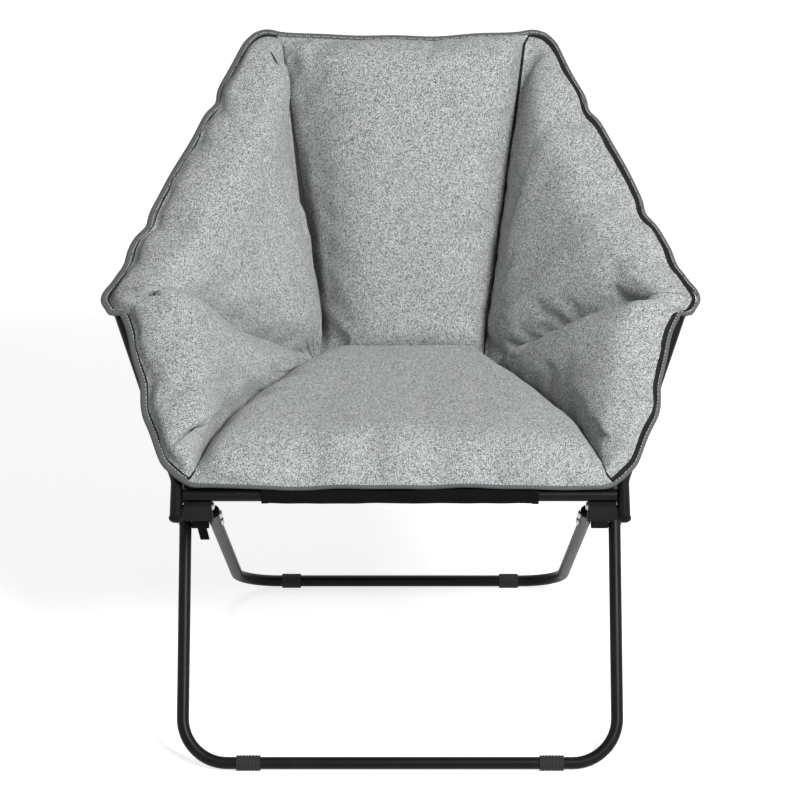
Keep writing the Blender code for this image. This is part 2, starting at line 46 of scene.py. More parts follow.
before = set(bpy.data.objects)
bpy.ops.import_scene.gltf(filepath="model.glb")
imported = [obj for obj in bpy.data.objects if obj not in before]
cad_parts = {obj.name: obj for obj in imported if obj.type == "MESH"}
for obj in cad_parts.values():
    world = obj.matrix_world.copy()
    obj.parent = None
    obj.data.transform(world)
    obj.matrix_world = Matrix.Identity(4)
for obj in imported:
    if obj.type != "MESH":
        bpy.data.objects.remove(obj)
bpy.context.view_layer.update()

# The frame's sizes in metres, as the solids have them
TUBE_R = 0.008
FIT = 0.0003
BEND_R = 0.058
REAR_HALF = 0.241
REAR_FOOT_HALF = 0.229
FRONT_HALF = 0.280
FRONT_FOOT_Y = -0.032
REAR_FOOT_Y = 0.461
CROSSING_Y = 0.1534
CROSSING_Z = 0.2638
LEG_END = 0.014
SLEEVE_R = 0.0102
SLEEVE_CUT = 0.0012
RING_TILT = math.radians(38.0)
RAIL_Y = 0.035
RAIL_Z = 0.361
SIDE_END_X = 0.281
SIDE_KNEE_S = 0.0206
SIDE_OVERHANG = 0.030
ARM_X = 0.368
ARM_S = 0.275
TOP_X = 0.190
TOP_S = 0.675
RING_BEND_R = 0.034
ELBOW_HALF = 0.016
LINK_REACH = 0.040
LUG_X = 0.26695
LUG_S = ARM_S + (ARM_X - LUG_X) / (ARM_X - TOP_X) * (TOP_S - ARM_S)
LUG_DROP = 0.050
RIM_N = 0.0124
RIM_RISE = 0.0020
RIM_RISE_RUN = 0.080
RIM_CORNER_R = 0.044
FRONT_CORNER_R = 0.027
FLANGE = 0.018
CREASE_X = 0.112
CREASE_Y = 0.420
CREASE_Z = 0.365
CREASE_ARCH = 0.007
SEAT_SEAM_OUT = 0.022
SEAT_SEAM_UP = 0.010
ARM_SEAM_LIFT = 0.028
TIP_GAP = 0.004

FOOT_Z = SLEEVE_R - SLEEVE_CUT
ALONG = Vector((0.0, math.cos(RING_TILT), math.sin(RING_TILT)))
UP = Vector((0.0, -math.sin(RING_TILT), math.cos(RING_TILT)))
MIDDLE_Y = ((FRONT_FOOT_Y - SLEEVE_R) + (RAIL_Y + TOP_S * ALONG.y + TUBE_R)) / 2
RIM_CORNERS = [
    (-0.272, 0.0075),
    (0.272, 0.0075),
    (0.381, 0.275),
    (0.198, 0.687),
    (-0.198, 0.687),
    (-0.381, 0.275),
]
# Places round the rim, counted in sides from the front left corner, where the edge is pinched in, and how far
PINCHES = [
    (4.27, 0.0070),
    (4.74, 0.0060),
    (4.88, 0.0035),
    (5.00, -0.0060),
    (2.70, 0.0060),
    (2.31, 0.0050),
    (2.12, 0.0030),
    (2.00, -0.0055),
    (3.97, -0.0030),
    (3.03, -0.0020),
]
PINCH_WIDTH = 0.035
# Waves of the sewn edge, inward and up, round the whole rim and along its front: height, count and phase
IN_WAVES = ((0.0009, 11, 0.6), (0.0007, 23, 2.1))
UP_WAVES = ((0.0008, 9, 1.9), (0.0006, 19, 0.0))
FRONT_IN_WAVES = ((0.0020, 7, 0.0),)
FRONT_UP_WAVES = ((0.0024, 5.2, 0.4), (0.0013, 13, 0.0))
TOP_SAG = 0.0115
SAG_POWER = 0.8
# How far the rim draws in under the arms and stands out further down, and where, as shares of the way from the arm
UNDER_ARM = 0.0140
UNDER_ARM_SPAN = (0.065, 0.095, 0.13, 0.58)
SIDE_COVER = 0.0095
SIDE_COVER_SPAN = (0.45, 0.65, 0.86, 1.0)
FLOOR_LIFT = 0.76
YARN_ACROSS = 0.0009
YARN_ALONG = 0.0012
WHITE = (1.0, 1.0, 1.0, 1.0)
SIDES = ((-1, "left"), (1, "right"))


def spot(x, y, z):
    return Vector((x, y - MIDDLE_Y, z))


def ring_spot(x, along, up):
    return spot(x, RAIL_Y, RAIL_Z) + along * ALONG + up * UP


CROSSING = spot(0.0, CROSSING_Y, CROSSING_Z)
FRONT_FOOT = spot(0.0, FRONT_FOOT_Y, FOOT_Z)
REAR_FOOT = spot(0.0, REAR_FOOT_Y, FOOT_Z)
LUG = ring_spot(0.0, LUG_S, -LUG_DROP)
REAR_UP = (CROSSING - REAR_FOOT).normalized()
LINK = CROSSING + LINK_REACH * REAR_UP


def ring_corners(side):
    """One side of the ring in the world: its arm corner, its top corner, and the side tube's knee and front end."""
    places = ((ARM_X, ARM_S), (TOP_X, TOP_S), (SIDE_END_X, SIDE_KNEE_S), (SIDE_END_X, -SIDE_OVERHANG))
    return [ring_spot(side * x, along, 0.0) for x, along in places]


class ChairSizes(bpy.types.PropertyGroup):
    """Sizes of the dressed pieces that a user would change."""

    seat_crown: bpy.props.FloatProperty(
        name="Seat crown", description="How far the seat stands over its seams", default=0.030, subtype="DISTANCE"
    )
    wing_crown: bpy.props.FloatProperty(
        name="Wing crown",
        description="How far the side wings stand over their seams",
        default=0.030,
        subtype="DISTANCE",
    )
    back_crown: bpy.props.FloatProperty(
        name="Back crown", description="How far the back stands over its seams", default=0.033, subtype="DISTANCE"
    )
    pucker: bpy.props.FloatProperty(
        name="Pucker", description="Height of the small folds beside the seams", default=0.0013, subtype="DISTANCE"
    )
    tape_width: bpy.props.FloatProperty(
        name="Tape width", description="Width of the tape sewn round the rim", default=0.0098, subtype="DISTANCE"
    )


class ChairColours(bpy.types.PropertyGroup):
    """Colours of the chair's finishes."""

    light_yarn: bpy.props.FloatVectorProperty(
        name="Light yarn", description="Pale fibres of the heather cloth", default=(0.61, 0.62, 0.617), subtype="COLOR"
    )
    dark_yarn: bpy.props.FloatVectorProperty(
        name="Dark yarn", description="Dark fibres of the heather cloth", default=(0.095, 0.102, 0.112), subtype="COLOR"
    )
    tape: bpy.props.FloatVectorProperty(
        name="Edge tape", description="Tape sewn round the rim", default=(0.105, 0.111, 0.114), subtype="COLOR"
    )
    lining: bpy.props.FloatVectorProperty(
        name="Lining",
        description="Black cloth behind the cover and on the rail",
        default=(0.0105, 0.0105, 0.0115),
        subtype="COLOR",
    )
    paint: bpy.props.FloatVectorProperty(
        name="Tube paint", description="Powder coat of the tubes", default=(0.0042, 0.0042, 0.0047), subtype="COLOR"
    )
    plastic: bpy.props.FloatVectorProperty(
        name="Fittings", description="Moulded black fittings", default=(0.0070, 0.0070, 0.0076), subtype="COLOR"
    )
    zinc: bpy.props.FloatVectorProperty(
        name="Rivets", description="Zinc-plated rivets", default=(0.50, 0.50, 0.51), subtype="COLOR"
    )
    floor: bpy.props.FloatVectorProperty(
        name="Floor", description="Pale studio floor", default=(0.64, 0.64, 0.64), subtype="COLOR"
    )


class Value:
    """A socket's value: arithmetic on it adds Math nodes."""

    def __init__(self, look, socket):
        self.look = look
        self.socket = socket

    def maths(self, operation, first, second):
        return self.look.node("ShaderNodeMath", {"operation": operation}, {0: first, 1: second})

    def __add__(self, other):
        return self.maths("ADD", self, other)

    def __radd__(self, other):
        return self.maths("ADD", other, self)

    def __sub__(self, other):
        return self.maths("SUBTRACT", self, other)

    def __rsub__(self, other):
        return self.maths("SUBTRACT", other, self)

    def __mul__(self, other):
        return self.maths("MULTIPLY", self, other)

    def __rmul__(self, other):
        return self.maths("MULTIPLY", other, self)


class Look:
    """The node tree of a material or world, with a method that adds any node."""

    def __init__(self, tree):
        self.tree = tree
        self.shader = tree.nodes.get("Principled BSDF")

    def node(self, kind, settings=None, inputs=None, output=0):
        made = self.tree.nodes.new(kind)
        for key, setting in (settings or {}).items():
            if key == "stops":
                self.set_stops(made.color_ramp, setting)
            else:
                setattr(made, key, setting)
        for key, value in (inputs or {}).items():
            self.feed(made.inputs[key], value)
        return Value(self, made.outputs[output])

    def set_stops(self, ramp, stops):
        while len(ramp.elements) < len(stops):
            ramp.elements.new(0.5)
        for element, (place, shade) in zip(ramp.elements, stops):
            element.position = place
            element.color = (shade, shade, shade, 1.0)

    def feed(self, socket, value):
        if isinstance(value, Value):
            self.tree.links.new(value.socket, socket)
        else:
            socket.default_value = value

    def set(self, name, value):
        self.feed(self.shader.inputs[name], value)

    def places(self, stretch=(1.0, 1.0, 1.0), flat=False):
        """Coordinates in metres, from the piece's cloth map or from its own space, stretched."""
        where = self.node("ShaderNodeTexCoord", output=2 if flat else 3)
        return self.node("ShaderNodeVectorMath", {"operation": "MULTIPLY"}, {0: where, 1: stretch})

    def grain(self, scale, detail=2.0, roughness=0.5, stretch=(1.0, 1.0, 1.0), flat=False):
        inputs = {"Vector": self.places(stretch, flat), "Scale": scale, "Detail": detail, "Roughness": roughness}
        return self.node("ShaderNodeTexNoise", None, inputs)

    def ramp(self, value, stops):
        return self.node("ShaderNodeValToRGB", {"stops": stops}, {"Fac": value})

    def mix(self, share, first, second):
        settings = {"data_type": "RGBA"}
        return self.node("ShaderNodeMix", settings, {0: share, 6: first, 7: second}, 2)

    def tint(self, share, colour, dark, light):
        """Colours the surface with shares of one colour, from dark to light."""
        self.set("Base Color", self.mix(share, opaque(colour, dark), opaque(colour, light)))

    def bump(self, height, strength, distance):
        inputs = {"Height": height, "Strength": strength, "Distance": distance}
        self.set("Normal", self.node("ShaderNodeBump", None, inputs))


def opaque(colour, factor=1.0):
    return (colour[0] * factor, colour[1] * factor, colour[2] * factor, 1.0)


def heather_cloth(look, colours):
    """Grey heather: pale and dark yarns in a fine uneven weave, with slow mottling and a soft nap."""
    where = look.places((1.0 / YARN_ACROSS, 1.0 / YARN_ALONG, 1.0), True)
    cell = look.node("ShaderNodeVectorMath", {"operation": "FLOOR"}, {0: where})
    speck = look.node("ShaderNodeTexWhiteNoise", {"noise_dimensions": "2D"}, {"Vector": cell})
    yarn = look.grain(820.0, 2.0, 0.60, (1.0, 0.60, 1.0), True)
    slub = look.grain(330.0, 2.0, 0.55, (1.6, 0.45, 1.0), True)
    cloud = look.grain(16.0, 3.0, 0.55, flat=True)
    tone = speck * 0.46 + yarn * 0.46 + slub * 0.18 + cloud * 0.06
    blend = look.ramp(tone, [(0.36, 0.0), (0.58, 0.50), (0.80, 1.0)])
    look.set("Base Color", look.mix(blend, opaque(colours.dark_yarn), opaque(colours.light_yarn)))
    look.set("Roughness", 0.82 + 0.14 * yarn)
    look.bump(yarn * 0.6 + speck * 0.25, 0.40, 0.0009)
    look.set("Sheen Weight", 0.12)
    look.set("Sheen Roughness", 0.6)
    look.set("Specular IOR Level", 0.2)


def black_weave(look, colours, patches, dark, light):
    """The thread of a black cloth that fades in patches, from dark to light shares of the lining's colour."""
    thread = look.grain(900.0)
    fade = look.grain(patches)
    look.tint(thread * 0.6 + fade * 0.4, colours.lining, dark, light)
    look.bump(thread, 0.4, 0.0008)
    return thread


def lining_cloth(look, colours):
    """Plain black cloth with a fine rib."""
    thread = black_weave(look, colours, 20.0, 0.5, 1.7)
    look.set("Roughness", 0.70 + 0.22 * thread)
    look.set("Specular IOR Level", 0.16)
    look.set("Sheen Weight", 0.10)
    look.set("Sheen Roughness", 0.5)


def rail_cloth(look, colours):
    """The lining's black cloth, drawn tight round the front rail and darkened with painted shade."""
    # Shares of 0.2 to 0.6 of the lining's colour, against 0.5 to 1.7 on the lining, are painted shade on the rail
    thread = black_weave(look, colours, 24.0, 0.2, 0.6)
    look.set("Roughness", 0.74 + 0.20 * thread)
    look.set("Specular IOR Level", 0.07)


def tape_cloth(look, colours):
    """Ribbed grey tape: fine ribs run across it, a little worn."""
    where = look.node("ShaderNodeTexCoord", output=2)
    inputs = {"Vector": where, "Scale": 130.0, "Distortion": 0.6}
    ribs = look.node("ShaderNodeTexWave", {"bands_direction": "X"}, inputs)
    worn = look.grain(240.0)
    look.tint(ribs * 0.45 + worn * 0.55, colours.tape, 0.62, 1.55)
    look.set("Roughness", 0.72 + 0.2 * worn)
    look.bump(ribs, 0.5, 0.0008)
    look.set("Specular IOR Level", 0.25)


def pale_thread(look, colours):
    """Pale grey sewing thread with its twist."""
    twist = look.grain(1500.0, 1.0)
    look.tint(twist, colours.light_yarn, 0.55, 0.95)
    look.set("Roughness", 0.6 + 0.2 * twist)
    look.bump(twist, 0.3, 0.0003)


def powder_coat(look, colours):
    """Black powder coat on steel: semi-gloss with a slight peel, worn a little duller in patches."""
    peel = look.grain(650.0, 1.0, 0.4)
    rub = look.grain(26.0, 4.0, 0.6, (1.0, 1.0, 0.4))
    dust = look.ramp(rub, [(0.45, 0.0), (0.75, 1.0)])
    look.tint(dust, colours.paint, 0.8, 1.9)
    look.set("Roughness", 0.31 + 0.12 * rub + 0.05 * peel)
    look.bump(peel, 0.12, 0.0004)
    look.set("Specular IOR Level", 0.13)


def moulded_plastic(look, colours):
    """Black moulding with a fine spark texture."""
    spark = look.grain(1100.0, 1.0)
    haze = look.grain(40.0, 3.0)
    look.tint(haze, colours.plastic, 0.75, 1.6)
    look.set("Roughness", 0.46 + 0.15 * haze + 0.08 * spark)
    look.bump(spark, 0.25, 0.0004)
    look.set("Specular IOR Level", 0.05)


def foot_rubber(look, colours):
    """Dull black sleeve with floor dust low down."""
    grain = look.grain(800.0)
    where = look.node("ShaderNodeTexCoord", output=3)
    height = look.node("ShaderNodeSeparateXYZ", None, {0: where}, 2)
    dust = look.ramp(height * 50.0 + grain * 0.3, [(0.10, 1.0), (0.45, 0.0)])
    look.set("Base Color", look.mix(dust * 0.35, opaque(colours.plastic), (0.09, 0.085, 0.08, 1.0)))
    look.set("Roughness", 0.62 + 0.25 * grain)
    look.bump(grain, 0.3, 0.0005)
    look.set("Specular IOR Level", 0.20)


def zinc_plate(look, colours):
    """Bright zinc on a rivet, brushed and slightly clouded."""
    cloud = look.grain(300.0, 3.0, 0.6)
    brush = look.grain(1800.0, 1.0, 0.5, (0.1, 1.0, 1.0))
    look.tint(cloud, colours.zinc, 0.75, 1.2)
    look.set("Roughness", 0.22 + 0.2 * cloud + 0.06 * brush)
    look.set("Metallic", 1.0)
    look.bump(brush, 0.1, 0.0002)


def seen_rays(look):
    """1 for the rays that show a surface: straight to the camera, in reflections and through clear things."""
    mask = look.node("ShaderNodeLightPath")
    for ray in ("Is Glossy Ray", "Is Transmission Ray"):
        other = look.node("ShaderNodeLightPath", output=ray)
        mask = look.node("ShaderNodeMath", {"operation": "MAXIMUM"}, {0: mask, 1: other})
    return mask


def studio_floor(look, colours):
    """Pale floor that keeps the shadow, and looks white round it without lighting the chair any more."""
    speck = look.grain(3.0)
    shade = look.mix(speck * 0.2, opaque(colours.floor), opaque(colours.floor, 0.985))
    look.set("Base Color", shade)
    look.set("Roughness", 0.85 + 0.1 * speck)
    look.set("Specular IOR Level", 0.1)
    inputs = {"Base Color": shade, "Roughness": 0.9, "Emission Color": WHITE, "Emission Strength": FLOOR_LIFT}
    lifted = look.node("ShaderNodeBsdfPrincipled", None, inputs)
    plain = Value(look, look.shader.outputs[0])
    both = look.node("ShaderNodeMixShader", None, {0: seen_rays(look), 1: plain, 2: lifted})
    look.feed(look.tree.nodes["Material Output"].inputs["Surface"], both)


FINISHES = {
    maker.__name__: maker
    for maker in (
        heather_cloth,
        lining_cloth,
        rail_cloth,
        tape_cloth,
        pale_thread,
        powder_coat,
        moulded_plastic,
        foot_rubber,
        zinc_plate,
        studio_floor,
    )
}


def finish(name):
    """The material of this name, made the first time that it is asked for."""
    made = bpy.data.materials.get(name)
    if made:
        return made
    made = bpy.data.materials.new(name)
    made.use_nodes = True
    FINISHES[name](Look(made.node_tree), bpy.context.scene.chair_colours)
    return made


def add(name, data):
    """A new object in the scene."""
    thing = bpy.data.objects.new(name, data)
    bpy.context.scene.collection.objects.link(thing)
    return thing


# Angles in degrees over which an edge stays sharp
PLAIN_SHARP = 35.0
ROUND_SHARP = 50.0
CLOTH_SHARP = 60.0


def piece(name, points, faces, finishes, sharp=PLAIN_SHARP, places=None, marks=None):
    """One closed object from world points; places are cloth-map corners and marks finish numbers, one a face."""
    mesh = bpy.data.meshes.new(name)
    mesh.from_pydata([tuple(point) for point in points], [], faces)
    if places:
        layer = mesh.uv_layers.new(name="cloth")
        for face in mesh.polygons:
            for corner, place in zip(face.loop_indices, places[face.index]):
                layer.data[corner].uv = place
    if marks:
        mesh.polygons.foreach_set("material_index", marks)
    shape = bmesh.new()
    shape.from_mesh(mesh)
    bmesh.ops.recalc_face_normals(shape, faces=shape.faces)
    shape.to_mesh(mesh)
    shape.free()
    mesh.shade_smooth()
    mesh.set_sharp_from_angle(angle=math.radians(sharp))
    for made in finishes:
        mesh.materials.append(finish(made))
    return add(name, mesh)


def loft(loops, closed=False):
    """Points and faces that join a row of equal loops, capped at both ends unless the row is closed."""
    count = len(loops[0])
    points = [point for loop in loops for point in loop]
    faces = []
    for row in range(len(loops) if closed else len(loops) - 1):
        here = row * count
        there = (row + 1) % len(loops) * count
        for i in range(count):
            j = (i + 1) % count
            faces.append((here + i, here + j, there + j, there + i))
    if not closed:
        faces.append(tuple(range(count)))
        faces.append(tuple(range(len(points) - count, len(points))))
    return points, faces


def circle(centre, first, second, radius, sides):
    turns = [2 * math.pi * (i + 0.5) / sides for i in range(sides)]
    return [centre + radius * (math.cos(turn) * first + math.sin(turn) * second) for turn in turns]


ARC_STEPS = 16


def rounded(path, radius):
    """A path whose inner corners are arcs of this radius."""
    points = [path[0]]
    for before, corner, after in zip(path, path[1:], path[2:]):
        into = (corner - before).normalized()
        out = (after - corner).normalized()
        half = into.angle(out) / 2
        centre = corner + (out - into).normalized() * radius / math.cos(half)
        start = corner - into * radius * math.tan(half) - centre
        spin = into.cross(out).normalized()
        for step in range(ARC_STEPS + 1):
            points.append(centre + Matrix.Rotation(2 * half * step / ARC_STEPS, 3, spin) @ start)
    return points + [path[-1]]


def sweep_loops(path, radii, sides=28):
    """Loops round a path, each with its own radius, that keep their turn from one point to the next."""
    ahead = [(b - a).normalized() for a, b in zip(path, path[1:])]
    side = ahead[0].orthogonal().normalized()
    loops = []
    for i, point in enumerate(path):
        middle = (ahead[max(i - 1, 0)] + ahead[min(i, len(ahead) - 1)]).normalized()
        side = (side - middle * side.dot(middle)).normalized()
        loops.append(circle(point, side, middle.cross(side), radii[i], sides))
    return loops


def tube(name, path, body):
    """A painted round tube along a path that stands for the node of its name."""
    thing = piece(f"{name}_smooth", *loft(sweep_loops(path, [TUBE_R] * len(path))), ["powder_coat"])
    place_on(thing, body, name)


def turned_loops(centre, direction, profile, sides=28):
    side = direction.orthogonal().normalized()
    other = direction.cross(side)
    return [circle(centre + along * direction, side, other, radius, sides) for along, radius in profile]


def place_on(thing, body, node):
    """Makes a piece ride on a body and stand for a node."""
    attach(thing, body)
    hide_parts(node)


def dome(start, height, radius, steps=7, tip=0.0012):
    """The profile of a domed head, from its foot to a small flat at its crown."""
    profile = []
    for step in range(steps + 1):
        turn = math.pi / 2 * step / steps
        profile.append((start + height * math.sin(turn), max(radius * math.cos(turn), tip)))
    return profile


def path_length(path):
    return sum((b - a).length for a, b in zip(path, path[1:]))


def at_lengths(path, wants):
    """Points at these distances along a path, which are in order."""
    points = []
    k, gone = 0, 0.0
    for want in wants:
        step = (path[k + 1] - path[k]).length
        while k < len(path) - 2 and gone + step < want - 1e-9:
            gone += step
            k += 1
            step = (path[k + 1] - path[k]).length
        points.append(path[k].lerp(path[k + 1], min(max((want - gone) / step, 0.0), 1.0)))
    return points


def spread(path, count):
    """Points at even steps along a path."""
    whole = path_length(path)
    return at_lengths(path, [whole * i / count for i in range(count + 1)])


def inset_corner(number, inset):
    """A corner of the rim, moved in so that both its sides are this much further in."""
    before, corner, after = [Vector((*RIM_CORNERS[(number + i) % 6], 0.0)) for i in (-1, 0, 1)]
    into = (corner - before).normalized()
    out = (after - corner).normalized()
    half = into.angle(out) / 2
    return corner + (out - into).normalized() * inset / math.cos(half)


def rim_edge(number, inset, count):
    """Even points of one side of the rim in the ring's plane, between the middles of two round corners."""
    moved = [inset_corner(number + i, inset) for i in range(-1, 3)]
    turns = [FRONT_CORNER_R if (number + i) % 6 < 2 else RIM_CORNER_R for i in (0, 1)]
    first = rounded(moved[:3], turns[0] - inset)[1:-1]
    second = rounded(moved[1:], turns[1] - inset)[1:-1]
    return spread(first[ARC_STEPS // 2:] + second[:ARC_STEPS // 2 + 1], count)


def bow(share):
    """A smooth rise along a seam: 0 at its ends, 1 half way."""
    return 4 * share * (1 - share)


def smooth_step(low, high, value):
    share = min(max((value - low) / (high - low), 0.0), 1.0)
    return share * share * (3.0 - 2.0 * share)


def rise_and_fall(value, up_from, up_to, down_from, down_to):
    """0, then 1 between two smooth steps, then 0 again."""
    return smooth_step(up_from, up_to, value) * (1.0 - smooth_step(down_from, down_to, value))


def waves(table, angle):
    return sum(height * math.sin(count * angle + phase) for height, count, phase in table)


def rim_shift(turn):
    """How far the sewn edge waves in and up at a place round the rim, counted in sides from the front left."""
    share = turn % 1.0
    number = int(turn) % 6
    angle = 2 * math.pi * turn / 6
    inward = waves(IN_WAVES, angle)
    rise = waves(UP_WAVES, angle)
    if number == 0:
        rise += bow(share) * waves(FRONT_UP_WAVES, math.pi * share)
        inward += bow(share) * waves(FRONT_IN_WAVES, math.pi * share)
    if number == 3:
        inward += TOP_SAG * bow(share) ** SAG_POWER
    if number in (1, 5):
        from_arm = share if number == 5 else 1.0 - share
        inward += UNDER_ARM * rise_and_fall(from_arm, *UNDER_ARM_SPAN)
        inward -= SIDE_COVER * rise_and_fall(from_arm, *SIDE_COVER_SPAN)
    for place, depth in PINCHES:
        inward += depth * math.exp(-(((turn - place) / PINCH_WIDTH) ** 2))
    return inward, rise


def rim_up(along):
    return RIM_N + RIM_RISE * max(1.0 - along / RIM_RISE_RUN, 0.0)


def rim_run(start, stop, inset, count):
    """Points of the waved rim in the world, between two places counted in sides from the front left corner."""
    last = math.ceil(stop) - 1
    sides = {number: rim_edge(number, inset, RIM_STEPS) for number in range(int(start), last + 1)}
    points = []
    for i in range(count + 1):
        turn = start + (stop - start) * i / count
        number = min(int(turn), last)
        place = (turn - number) * RIM_STEPS
        k = min(int(place), RIM_STEPS - 1)
        before, after = sides[number][k], sides[number][k + 1]
        point = before.lerp(after, place - k)
        ahead = (after - before).normalized()
        inward, rise = rim_shift(turn)
        moved = point + Vector((-ahead.y, ahead.x, 0.0)) * inward
        points.append(ring_spot(moved.x, moved.y, rim_up(point.y) + rise))
    return points


def crease_spot(side):
    return spot(side * CREASE_X, CREASE_Y, CREASE_Z)


GRID = 48
ROW = GRID + 1
FLANGE_ROWS = 6
RIM_STEPS = 160


def ruled_grid(rim, flange, far):
    grid = [[a.lerp(b, row / FLANGE_ROWS) for a, b in zip(rim, flange)] for row in range(FLANGE_ROWS)]
    steps = GRID - FLANGE_ROWS
    for row in range(steps + 1):
        grid.append([a.lerp(b, row / steps) for a, b in zip(flange, far)])
    return grid


def seat_grid(rim, flange, far):
    """The seat's grid, with its side seams bowed."""
    grid = ruled_grid(rim, flange, far)
    steps = GRID - FLANGE_ROWS
    for row in range(steps + 1):
        for column in range(ROW):
            across = 2 * column / GRID - 1
            near_seam = bow(row / steps) * abs(across) ** 3
            shift = Vector((math.copysign(SEAT_SEAM_OUT, across), 0.0, SEAT_SEAM_UP))
            grid[FLANGE_ROWS + row][column] += near_seam * shift
    return grid


def wing_grid(rim, flange, side, upper):
    """A grid that narrows from the rim to the seat's rear corner and follows the seams beside it."""
    tip = crease_spot(side)
    grid = ruled_grid(rim, flange, [tip + (point - tip).normalized() * TIP_GAP for point in flange])
    steps = GRID - FLANGE_ROWS
    arm_first = upper == (side > 0)
    seat_shift = Vector((side * SEAT_SEAM_OUT, 0.0, SEAT_SEAM_UP))
    for row in range(steps + 1):
        for column, point in enumerate(flange):
            share = bow(row / steps * (1.0 - TIP_GAP / (point - tip).length))
            from_arm = column / GRID if arm_first else 1.0 - column / GRID
            shift = ARM_SEAM_LIFT * (1.0 - from_arm) ** 2 * UP
            if not upper:
                shift = shift + from_arm**2 * seat_shift
            grid[FLANGE_ROWS + row][column] += share * shift
    return grid


def seam_reach(grid):
    """For each point of a grid, its distance along the grid from the four sides: rim, far, first and last column."""
    size = len(grid)
    reach = [[[0.0] * 4 for _ in range(size)] for _ in range(size)]
    for i in range(size):
        for k, way in enumerate(([(r, i) for r in range(size)], [(i, c) for c in range(size)])):
            for back in (0, 1):
                line = way[::-1] if back else way
                gone = 0.0
                for here, before in zip(line, [line[0]] + line):
                    gone += (grid[here[0]][here[1]] - grid[before[0]][before[1]]).length
                    reach[here[0]][here[1]][2 * k + back] = gone
    return reach


def fullness(distance, shoulder):
    """How full a pad is at this distance from a seam: 0 on the seam, 1 past the shoulder."""
    short = max(1.0 - max(distance, 0.0) / shoulder, 0.0)
    return 1.0 - short * short


# Wide and fine folds: strength, waves a metre along the seam and away from it, shift of the noise from seam to seam,
# and the distances over which they fade and start
FOLDS = ((2.6, 26.0, 8.0, 3.7, 0.032, 0.008), (0.8, 58.0, 18.0, 9.1, 0.018, 0.006))


def folds(reach, along, sides, seed, height):
    """The height of the small folds that run in from the seams at one point of a pad."""
    total = 0.0
    for number, (distance, amount) in enumerate(zip(reach, sides)):
        run = along[0] if number < 2 else along[1]
        for strength, pitch, drift, shift, fade, start in FOLDS:
            wave = noise.noise(Vector((run * pitch, seed + shift * number, distance * drift)))
            total += amount * strength * wave * math.exp(-distance / fade) * (1.0 - math.exp(-distance / start))
    return height * total


class Pad(NamedTuple):
    """How one pad is sewn: its stretch of the rim, the shoulders and folds of its four seams, and a seed.

    The seams are in the order rim, far, first and last. arm is the seam that runs to the arm, if it has one. Strips
    beside the first and last seams are black lining: partly the backing that shows there, partly painted shade in the
    seam's groove. rim_rows of the grid lie flat beside the rim, and the first of them, up to DARK_ROWS, are black
    lining that is partly the backing and partly painted shade beside the tape.
    """

    start: float
    stop: float
    shoulders: tuple
    sides: tuple
    seed: float
    arm: int = None
    strips: tuple = (0.0, 0.0)
    rim_rows: int = 0


SEAM_LINE = 0.0015
STRIP_FULL = 0.6
# strips and rim_rows put black lining in the seams' grooves and beside the tape: partly the backing that shows there,
# partly painted shade
PADS = {
    "seat_pad": Pad(0.0, 1.0, (0.048, 0.030, 0.036, 0.030), (1.2, 0.5, 0.6, 1.5), 11.0, strips=(SEAM_LINE, SEAM_LINE)),
    "back_pad": Pad(3.05, 3.93, (0.034, 0.050, 0.022, 0.120), (1.1, 0.9, 0.4, 0.3), 23.0),
    "lower_wing_right": Pad(1.0, 2.0, (0.045, 0.070, 0.060, 0.050), (1.3, 1.0, 0.5, 1.5), 37.0, 3, rim_rows=3),
    "upper_wing_right": Pad(2.0, 3.05, (0.045, 0.070, 0.050, 0.105), (1.2, 1.0, 1.3, 0.3), 41.0, 2, (0.0, 0.0085), 3),
    "upper_wing_left": Pad(3.93, 5.0, (0.040, 0.070, 0.011, 0.050), (1.2, 1.2, 0.15, 1.1), 53.0, 3, rim_rows=2),
    "lower_wing_left": Pad(5.0, 6.0, (0.040, 0.070, 0.050, 0.036), (1.3, 1.2, 1.1, 0.5), 67.0, 2, rim_rows=2),
}
# Where the seam to the arm sinks in, as shares of the way from the seat's rear corner to the arm, on each side
ARM_SEAM_ENDS = {"left": (0.34, 0.70), "right": (0.60, 0.90)}
DIMPLE_SHARE = 0.66
DIMPLE_DEPTH = 0.011
DIMPLE_R = 0.018
TAPE_TUCK = 0.0050
RIM_ROW = 0.0015
DARK_ROWS = 2
BACK_GROOVE = 0.034
GROOVE_R = 0.022
GROOVE_SPAN = (0.02, 0.75, 0.90, 1.0)
ARM_PLUMP = 0.008
ARM_PLUMP_REACH = 0.050
ARM_SHOULDER = 0.045
LEFT_BOLSTER = 0.018
BOLSTER_SHOULDER = 0.034
BOLSTER_ENDS = (0.050, 0.150)
LEAST_FILL = 0.0016
SEAM_TURN = 0.0038
RIM_TURN = 0.0006
UNDER_LEAST = 0.0010
UNDER_SWELL = 0.0065
TOP_LIFT = 0.0005
ARM_BLEND = 0.040
SEAM_SPILL = 0.0012
# How far the lining hangs over the sleeve, the bare rail and the side tubes, and where it goes from one to the next
SLEEVE_FLAP = 0.0085
RAIL_FLAP = 0.0210
TUBE_FLAP = 0.0042
PAST_SLEEVE = (0.176, 0.186)
NEAR_TUBE = (0.268, 0.276)
FLAP_ENDS = (0.025, 0.060)
FLAP_BACK = 0.0025
SWELL_CAP = 0.011
FILL_FRAMES = 20
FILLING = {
    "quality": 5,
    "mass": 0.25,
    "tension_stiffness": 18.0,
    "compression_stiffness": 10.0,
    "shear_stiffness": 6.0,
    "bending_stiffness": 0.6,
    "shrink_min": -0.03,
    "vertex_group_mass": "held",
    "use_pressure": True,
    "uniform_pressure_force": 4.0,
}
ARM_HOLD = 0.045
ARM_FOLD_LOSS = 0.8
# The left wing's fold over the back: how far it is slack and rolls over, and where
FOLD_HOLD = 0.030
FOLD_SLACK = 0.40
FOLD_REACH = 0.120
FOLD_ROLL = 0.008
ROLL_SPAN = (0.05, 0.6)
ROLL_FADE = 0.012
ROLL_START = 0.002
